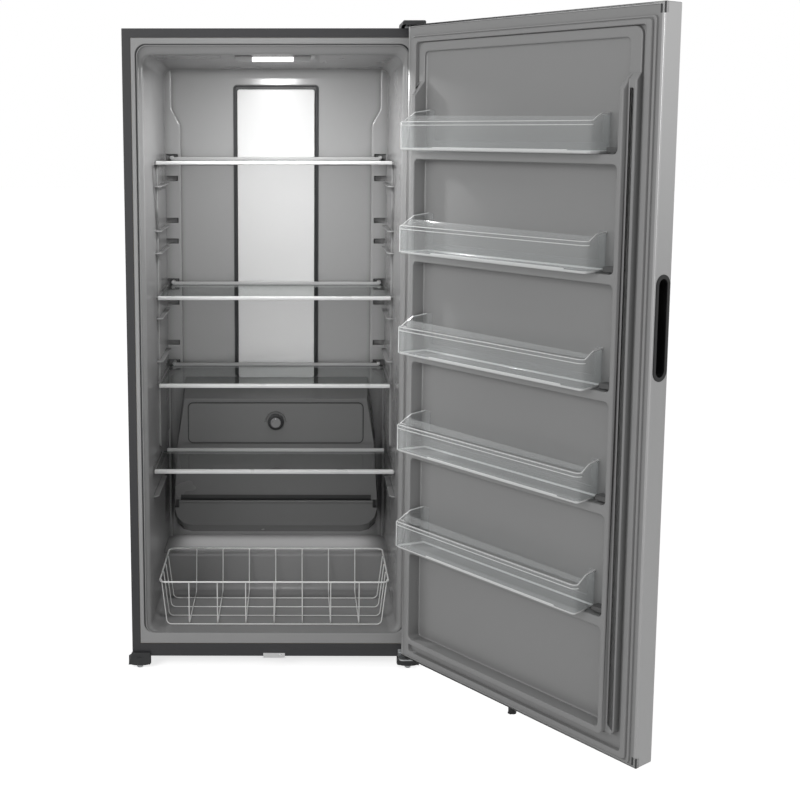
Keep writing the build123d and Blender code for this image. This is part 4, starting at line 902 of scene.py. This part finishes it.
class FRIDGE_OT_dial(Step, Operator):
    """Control dial with finger ribs and a white mark, and the scale round it"""
    bl_idname = "fridge.dial"
    bl_label = "Control dial"

    def build(self):
        skirt = rod("dial_skirt", (0, 378.7, DIAL_UP), (0, 387.7, DIAL_UP), 26, 64)
        pick(skirt, lambda c, n: n.y < -0.9)
        inset(7, 1.2)
        extrude(y=-5.6)
        resize((0.92, 1, 0.92), (0, 370, DIAL_UP))
        soften(skirt, 1.2, 3)
        shaft = rod("dial_shaft", (0, 387.7, DIAL_UP), (0, 412, DIAL_UP), 3, 24)
        ribs = []
        rib = block("rib", (-0.7, 371.2, DIAL_UP + 15.4), (0.7, 377.5, DIAL_UP + 18.4))
        for index in range(24):
            focus(rib)
            bpy.ops.object.duplicate(linked=False)
            twin = bpy.context.object
            turn = Matrix.Rotation(math.radians(15 * index), 4, "Y")
            centre = Vector((0, 0, DIAL_UP)) * MM
            twin.rotation_euler = turn.to_euler()
            twin.location = centre - turn @ centre
            ribs.append(settle("rib_%d" % index))
        remove(rib)
        cap = rod("cap", (0, 369.9, DIAL_UP), (0, 373, DIAL_UP), 16.2, 48)
        soften(cap, 1, 3)
        parts = [coat(piece, grip_abs()) for piece in [skirt, shaft] + ribs]
        knob = join([coat(cap, cap_abs())] + parts, "control_dial_form")
        done(knob, "dial", None, ["control_dial"])
        mark = rod("dial_mark", (0, 369.2, DIAL_UP + 13), (0, 371, DIAL_UP + 13), 1.8, 20)
        soften(mark, 0.4, 2)
        done(mark, "dial", duct_abs())
        ticks = []
        for angle in range(-90, 91, 15):
            turn = math.radians(angle)
            length = 5 if angle % 45 == 0 else 2.6
            inner, outer = ((math.sin(turn) * out, 387.75, DIAL_UP + math.cos(turn) * out)
                            for out in (31.5, 31.5 + length))
            ticks.append(rod("tick", inner, outer, 0.8, 8))
        clear_selection()
        bpy.ops.mesh.primitive_torus_add(major_radius=0.0315, minor_radius=0.0010,
                                         major_segments=72, minor_segments=8,
                                         location=(0, 0.3878, DIAL_UP * MM),
                                         rotation=(math.radians(90), 0, 0))
        arc = settle("scale_arc")
        slice_at(arc, (0, 0, DIAL_UP), (0, 0, -1), clear_outer=True, fill=True)
        scale = join([arc] + ticks, "dial_scale")
        done(scale, "cabinet", dark_print())


class FRIDGE_OT_shelves(Step, Operator):
    """Front trims and rear rails of the four glass shelves"""
    bl_idname = "fridge.shelves"
    bl_label = "Shelf trims"

    def build(self):
        for name, top, half, front, back, hooked in SHELVES:
            trim = block(name + "_front_trim", (-half, front, top - 10.5), (half, front + 16, top))
            round_where(trim, lambda m, d: m.y < front + 1 and abs(d.x) > 0.9, 3.2, 5)
            round_where(trim, lambda m, d: abs(d.z) > 0.9, 2.5, 3)
            soften(trim, 0.8, 2, 60)
            rail_half = 336 if hooked else half - 12
            rail = block("rail", (-rail_half, back - 9, top - 5), (rail_half, back, top + 5))
            soften(rail, 2.2, 3)
            # The rear rail and its knobs take the darker frame grey: painted shade for their place
            # deep in the cabinet
            parts = [coat(trim, trim_abs()), coat(rail, frame_abs())]
            if hooked:
                for side in (-1, 1):
                    knob = rod("knob", (side * 334, back - 12, top + 3),
                               (side * 334, back + 20, top + 3), 6, 24)
                    round_where(knob, lambda m, d: m.y < back - 11 and abs(d.y) < 0.5, 2.5, 3)
                    # Painted shade, as on the rail
                    parts.append(coat(knob, frame_abs()))
            whole = join(parts, name + "_trim_form")
            done(whole, name, None, [name + "_trim"])


class FRIDGE_OT_door_shell(Step, Operator):
    """Folded steel skin, end caps and grip of the door"""
    bl_idname = "fridge.door_shell"
    bl_label = "Door shell"

    def build(self):
        skin = block("door_skin_wrap", (FREE_EDGE, DOOR_OUTER, DOOR_LOW + 0.9),
                     (HINGE_EDGE, DOOR_INNER, DOOR_HIGH - 0.9))
        round_where(skin, lambda m, d: abs(d.z) > 0.9 and m.y < DOOR_OUTER + 1, 10, 8)
        round_where(skin, lambda m, d: abs(d.z) > 0.9 and m.y > DOOR_INNER - 1, 3, 5)
        pick(skin, lambda c, n: n.y > 0.999)
        inset(5)
        bpy.ops.mesh.delete(type="FACE")
        drop_faces(skin, lambda c, n: abs(n.z) > 0.9)
        thicken(skin, 1.2)
        grip = self.stadium("grip_hole", (1003, 1246), (7.5, 53),
                            (FREE_EDGE - 5, FREE_EDGE + 5))
        combine(skin, grip)
        swing(skin)
        done(skin, "door", brushed_steel(), ["door_skin"], smooth=30)

        for node, name in (("door_cap_top", "door_top_cap"),
                           ("door_cap_bottom", "door_bottom_cap")):
            cap = from_node(node, name)
            soften(cap, 0.5, 2, 50)
            done(cap, "door", dark_abs(), [node])

        rim = self.stadium("grip_rim", (1000, 1249), (4.5, 56),
                           (FREE_EDGE - 1.5, FREE_EDGE + 0.2))
        sleeve = self.stadium("sleeve", (1006, 1243), (10.5, 50),
                              (FREE_EDGE - 1, FREE_EDGE + 32))
        combine(rim, sleeve, "UNION")
        inside = self.stadium("inside", (1010, 1239), (14.5, 46),
                              (FREE_EDGE - 5, FREE_EDGE + 30))
        combine(rim, inside)
        soften(rim, 1.1, 3)
        swing(rim)
        done(rim, "door", grip_abs(), ["handle_cup"])

    def stadium(self, name, z, t, x):
        """Upright stadium seen from the door's free edge."""
        middle = above(-(t[0] + t[1]) / 2)
        radius = (t[1] - t[0]) / 2
        piece = rod(name, (x[0], middle, z[0] + radius), (x[1], middle, z[0] + radius), radius, 40)
        pick(piece, lambda p: p.z > z[0] + radius + 0.01, "VERT")
        shift(z=z[1] - z[0] - 2 * radius)
        face_out(piece)
        return piece


class FRIDGE_OT_door_liner(Step, Operator):
    """Formed door liner: flange, low rim, stepped rails, cross ribs and sunk panels"""
    bl_idname = "fridge.door_liner"
    bl_label = "Door liner"

    def raised(self, name, u, z, high, radius):
        return slab(name, (across(u[1]), across(u[0])), z, (above(-5), above(high)), radius, 6)

    def build(self):
        form = self.raised("door_liner_form", (53.7, 781.3), (131, 1808), 8, 22)
        step = self.raised("step", (53.7, 781.3), (131, 1730), 23.4, 13)
        rails = self.raised("rails", (61, 759.7), (131, 1730), 42, 13)
        slope = Vector((0, 38, 34)).normalized()
        for piece in (step, rails):
            slice_at(piece, (0, above(8), 1705), slope, clear_outer=True, fill=True)
            face_out(piece)
        combine(form, step, "UNION")
        combine(form, rails, "UNION")
        edges = [146]
        for rim in reversed(BIN_RIMS):
            edges += [rim - 101, rim - 77.3]
        edges.append(1783)
        for low, high in zip(edges[0::2], edges[1::2]):
            panel = slab("panel", (across(747), across(74.6)), (low, high),
                         (above(-3), above(60)), 12, 5)
            round_where(panel, lambda m, d: m.y < above(-2.9), 7, 4)
            combine(form, panel)
        groove = slab("groove", (across(771), across(764)), (155, 1667),
                      (above(19.4), above(40)), 3.4, 4)
        combine(form, groove)
        flange = block("flange", at(827, -5, 66),
                       at(6.5, -0.05, 1852))
        combine(form, flange, "UNION")
        soften(form, 3.2, 3, 50)
        swing(form)
        done(form, "door", door_sheet(), ["door_liner"])


class FRIDGE_OT_gasket(Step, Operator):
    """Door gasket: magnet strip and outer lip, mitred at the corners"""
    bl_idname = "fridge.gasket"
    bl_label = "Door gasket"

    def build(self):
        rings = (
            (0, 3.2), (0.6, 5), (2, 5.8), (5, 5.8), (6.2, 3.4), (8, 3.4), (9, 10.2),
            (10.4, 11.5), (16, 11.7), (21.6, 11.5), (23, 10.2), (23.6, 5), (24, 0.2),
        )
        left, right = across(815), across(20)
        piece = rounded_face("door_gasket_form", (left, right), (68, 1828), above(0.2), 9, 5)
        pick_all(piece)
        for width, rise in rings:
            top = 1828 - width * 19.6 / 24
            extrude()
            fit(piece, x=(left + width, right - width), z=(68 + width, top), y=above(rise))
        bpy.ops.mesh.delete(type="FACE")
        drop_faces(piece, lambda c, n: abs(n.y) > 0.99 and abs(c.y - above(0.2)) < 0.01)
        pick_all(piece)
        bpy.ops.mesh.region_to_loop()
        bpy.ops.mesh.bridge_edge_loops()
        face_out(piece)
        swing(piece)
        done(piece, "door", gasket_pvc(), ["door_gasket"])


class FRIDGE_OT_bins(Step, Operator):
    """Clear door bins"""
    bl_idname = "fridge.bins"
    bl_label = "Door bins"

    def whiten(self, piece, test=lambda c, n: True):
        """Give faces the whitish rim material, painted highlight in part."""
        pick(piece, test)
        piece.active_material_index = 1
        bpy.ops.object.material_slot_assign()

    def bead(self, piece):
        """A rim bead with the bins' two materials, all of it whitish, painted highlight in part.
        """
        coat(piece, bin_plastic()).data.materials.append(bin_edges())
        self.whiten(piece)
        return piece

    def shape(self, rim):
        low = rim - 77
        piece = block("bin", at(704, -1.5, low), at(62, 86.5, rim))
        for h in (42, 56, 64.5):
            slice_at(piece, (0, above(h), 0), (0, 1, 0))
        pick(piece, lambda p: p.y < above(0), "VERT")
        fit(piece, x=(across(693), across(88)))
        for h, free, hinge in ((42, 698.7, 77.6), (56, 700.4, 72), (64.5, 701.4, 69)):
            pick(piece, lambda p: abs(p.y - above(h)) < 1, "VERT")
            fit(piece, x=(across(free), across(hinge)))
        for h, hinge_rise, free_rise in ((56, 15, 9), (42, 25, 15), (-1.5, 31, 18)):
            for hinge_side, rise in ((True, hinge_rise), (False, free_rise)):
                pick(piece, lambda p: abs(p.y - above(h)) < 1 and p.z > rim - 1
                     and (p.x > 0) == hinge_side, "VERT")
                shift(z=rise)
        drop_faces(piece, lambda c, n: n.z > 0.7)
        for place, normal in (((across(110), 0, 0), (1, 0, 0)),
                              ((across(671), 0, 0), (1, 0, 0)), ((0, 0, low + 25), (0, 0, 1))):
            pick(piece, lambda c, n: c.y < above(0))
            bpy.ops.mesh.bisect(plane_co=Vector(place) * MM, plane_no=normal, threshold=SNAP)
        drop_faces(piece, lambda c, n: c.y < above(0) and c.z > low + 26 and abs(n.y) > 0.9
                   and across(671) < c.x < across(110))
        round_where(piece, lambda m, d: abs(d.z) > 0.9 and m.y > above(80), 14, 6)
        pick(piece, lambda m, d: False, "EDGE")
        cage = bmesh.from_edit_mesh(piece.data)
        for edge in cage.edges:
            if len(edge.link_faces) == 2 and abs(edge.calc_face_angle()) > 1 \
                    and all(v.co.z / MM < low + 0.2 for v in edge.verts):
                edge.select_set(True)
        bmesh.update_edit_mesh(piece.data)
        round_edges(7, 4)
        thicken(piece, sizes().bin_wall / MM)
        piece.data.materials.append(bin_plastic())
        piece.data.materials.append(bin_edges())
        # Rim tops, rounded bottom edges and the top of the low back wall take the whitish rim
        # body: partly painted highlight along the edges
        self.whiten(piece, lambda c, n: c.z > low + 20 and n.z > 0.6)
        self.whiten(piece, lambda c, n: c.z < low + 6.5 and abs(n.z) < 0.97)
        self.whiten(piece, lambda c, n: low + 24 < c.z < low + 26 and n.z > 0.9)
        beads = []
        for top, out, thick in ((rim - 0.2, 88.2, 2), (rim - 9.5, 88, 1.6)):
            bead = block("bead", at(703.5, 72.5, top - 2),
                         at(63.5, out, top))
            round_where(bead, lambda m, d: abs(d.z) > 0.9 and m.y > above(80), 15, 6)
            drop_faces(bead, lambda c, n: abs(n.z) > 0.9 or n.y < -0.9)
            thicken(bead, thick)
            soften(bead, 0.5, 2, 60)
            beads.append(self.bead(bead))
        # Round rims down both ends and up the front corner at the hinge: place across, out, up
        for path in (
            ((702.2, 74, rim - 1), (700.4, 56, rim + 8), (698.7, 42, rim + 14),
             (693, -1.5, rim + 17)),
            ((66.4, 74, rim - 1), (72, 56, rim + 14), (77.6, 42, rim + 24),
             (88, -1.5, rim + 30)),
            ((66.1, 82.4, low + 4), (66.1, 82.4, rim - 2)),
        ):
            places = [at(u, h, z) for u, h, z in path]
            for start, end in zip(places, places[1:]):
                beads.append(self.bead(rod("bead", start, end, 1.5, 10)))
        return join([piece] + beads, "bin")

    def build(self):
        first = self.shape(BIN_RIMS[0])
        # Whitish strip near the foot of the front: partly painted highlight
        strip = block("strip", at(640, 85.5, BIN_RIMS[0] - 70),
                      at(190, 87.4, BIN_RIMS[0] - 67))
        soften(strip, 0.8, 2)
        first = join([first, self.bead(strip)], "bin")
        for number, rim in enumerate(BIN_RIMS, start=1):
            twin = copy(first, "door_bin_form_%d" % number, rim - BIN_RIMS[0])
            swing(twin)
            done(twin, "door_bin_%d" % number, None, ["bin_%d" % number])
        remove(first)
        combs = from_node("bin_brackets", "bin_combs")
        soften(combs, 0.5, 2, 50)
        done(combs, "door", cover_abs(), ["bin_brackets"])


class FRIDGE_OT_small_parts(Step, Operator):
    """Feet, hinges, hinge cover, strike and lock peg with softened edges"""
    bl_idname = "fridge.small_parts"
    bl_label = "Feet, hinges and lock"

    def build(self):
        for node, radius, body, finish, slot in (
            ("foot_covers", 1.6, "cabinet", dark_abs, "dark_plastic"),
            ("bottom_hinge", 0.8, "cabinet", zinc, "zinc_steel"),
            ("top_hinge", 0.6, "cabinet", zinc, "zinc_steel"),
            ("top_hinge_cover", 0.8, "cabinet", dark_abs, "dark_plastic"),
            ("lock_strike", 0.5, "cabinet", chrome, "chrome"),
            ("lock_peg", 0.8, "lock", grip_abs, "black_plastic"),
            ("power_inlet", 0.5, "cabinet", grip_abs, "black_plastic"),
            ("drain_pan", 0.8, "cabinet", dark_abs, "dark_plastic"),
        ):
            piece = from_node(node, node + "_form")
            soften(piece, radius, 2, 50)
            done(piece, body, finish(), [node])


class FRIDGE_OT_stage(Step, Operator):
    """Pale floor, white surround, soft lamps and the camera"""
    bl_idname = "fridge.stage"
    bl_label = "Stage"

    def lamp(self, name, place, target, size, power, spread=180):
        data = bpy.data.lights.new(name, "AREA")
        data.shape = "RECTANGLE"
        data.size, data.size_y = size
        data.energy = power
        data.spread = math.radians(spread)
        lamp = bpy.data.objects.new(name, data)
        lamp.location = place
        aim = Vector(target) - Vector(place)
        lamp.rotation_euler = aim.to_track_quat("-Z", "Y").to_euler()
        bpy.context.scene.collection.objects.link(lamp)
        return lamp

    def build(self):
        scene = bpy.context.scene
        clear_selection()
        bpy.ops.mesh.primitive_plane_add(size=60, location=(0, 0, -0.0005))
        floor = settle("studio_floor")
        floor.data.materials.append(self.floor_finish())

        world = bpy.data.worlds.new("studio")
        world.use_nodes = True
        scene.world = world
        tree = world.node_tree
        tree.nodes.clear()
        ray = add_node(tree, "LightPath").outputs
        seen = maths(tree, "MAXIMUM", ray["Is Camera Ray"], ray["Is Glossy Ray"])
        seen = maths(tree, "MAXIMUM", seen, ray["Is Transmission Ray"])
        sky = add_node(tree, "Background", {"Color": (1, 1, 1, 1)},
                       {"Strength": remap(tree, seen, 0.38, 1.0)})
        add_node(tree, "OutputWorld", None, {"Surface": sky.outputs["Background"]})

        # Place and aim in metres, width and height, watts, spread in degrees
        self.lamp("front_softbox", (-3.1, -4.0, 2.7), (0.1, 0.0, 1.0), (2.4, 2.2), 84)
        self.lamp("side_softbox", (3.6, -2.6, 2.4), (0.3, 0.0, 0.9), (2.0, 2.4), 12)
        self.lamp("ceiling_lamp", (0, 0.051, 1.7625), (0, 0.22, 1.0), (0.112, 0.014), 5.4)
        for fill in (
            self.lamp("interior_fill", (0, -1.3, 1.35), (0, 0.4, 1.05), (0.5, 1.2), 1.3, 50),
            self.lamp("hump_fill", (0, 0.46, 0.277), (0, 0.46, 0.0), (0.62, 0.13), 0.32, 150),
        ):
            fill.visible_glossy = False

        data = bpy.data.cameras.new("camera")
        data.sensor_width = 36.0
        data.lens = 56.8
        data.shift_x = 0.1345
        data.shift_y = -0.12
        data.clip_end = 100.0
        camera = bpy.data.objects.new("camera", data)
        camera.location = (0.0711, -3.5508, 1.576)
        camera.rotation_euler = (math.radians(90 - 7.865), 0, math.radians(0.26))
        scene.collection.objects.link(camera)
        scene.camera = camera
        scene.view_settings.view_transform = "Standard"

    def floor_finish(self):
        """Matt white board that stays white to the camera and keeps the shadow."""
        material, tree, place = blank("matt_white_board")
        tone = remap(tree, noise(tree, place, 3.0, 2.0), 0.80, 0.84)
        board = add_node(tree, "BsdfDiffuse", {"Roughness": 0.5}, {"Color": tone})
        ray = add_node(tree, "LightPath").outputs
        mirrored_glow = maths(tree, "MULTIPLY", ray["Is Glossy Ray"], 0.25)
        glow = maths(tree, "MULTIPLY_ADD", ray["Is Camera Ray"], 0.72, mirrored_glow)
        lift = add_node(tree, "Emission", {"Color": (1, 1, 1, 1)}, {"Strength": glow})
        both = add_node(tree, "AddShader", None,
                        {0: board.outputs["BSDF"], 1: lift.outputs["Emission"]})
        show(tree, both.outputs["Shader"])
        return material


OPERATORS = tuple(Step.__subclasses__())


class FRIDGE_PT_sidebar(Panel):
    """Sizes, colours and the steps that build the refrigerator"""
    bl_idname = "FRIDGE_PT_sidebar"
    bl_label = "Refrigerator"
    bl_space_type = "VIEW_3D"
    bl_region_type = "UI"
    bl_category = "Refrigerator"

    def draw(self, context):
        for group in (context.scene.fridge_sizes, context.scene.fridge_colours):
            box = self.layout.box()
            for key in group.bl_rna.properties.keys():
                if key not in ("rna_type", "name"):
                    box.prop(group, key)
        for operator in OPERATORS:
            self.layout.operator(operator.bl_idname)


CLASSES = (FridgeColours, FridgeSizes) + OPERATORS + (FRIDGE_PT_sidebar,)


def register():
    for item in CLASSES:
        bpy.utils.register_class(item)
    bpy.types.Scene.fridge_colours = PointerProperty(type=FridgeColours)
    bpy.types.Scene.fridge_sizes = PointerProperty(type=FridgeSizes)


def unregister():
    del bpy.types.Scene.fridge_sizes
    del bpy.types.Scene.fridge_colours
    for item in reversed(CLASSES):
        bpy.utils.unregister_class(item)


def main():
    register()
    for operator in OPERATORS:
        group, name = operator.bl_idname.split(".")
        getattr(getattr(bpy.ops, group), name)()


if __name__ == "__main__":
    main()
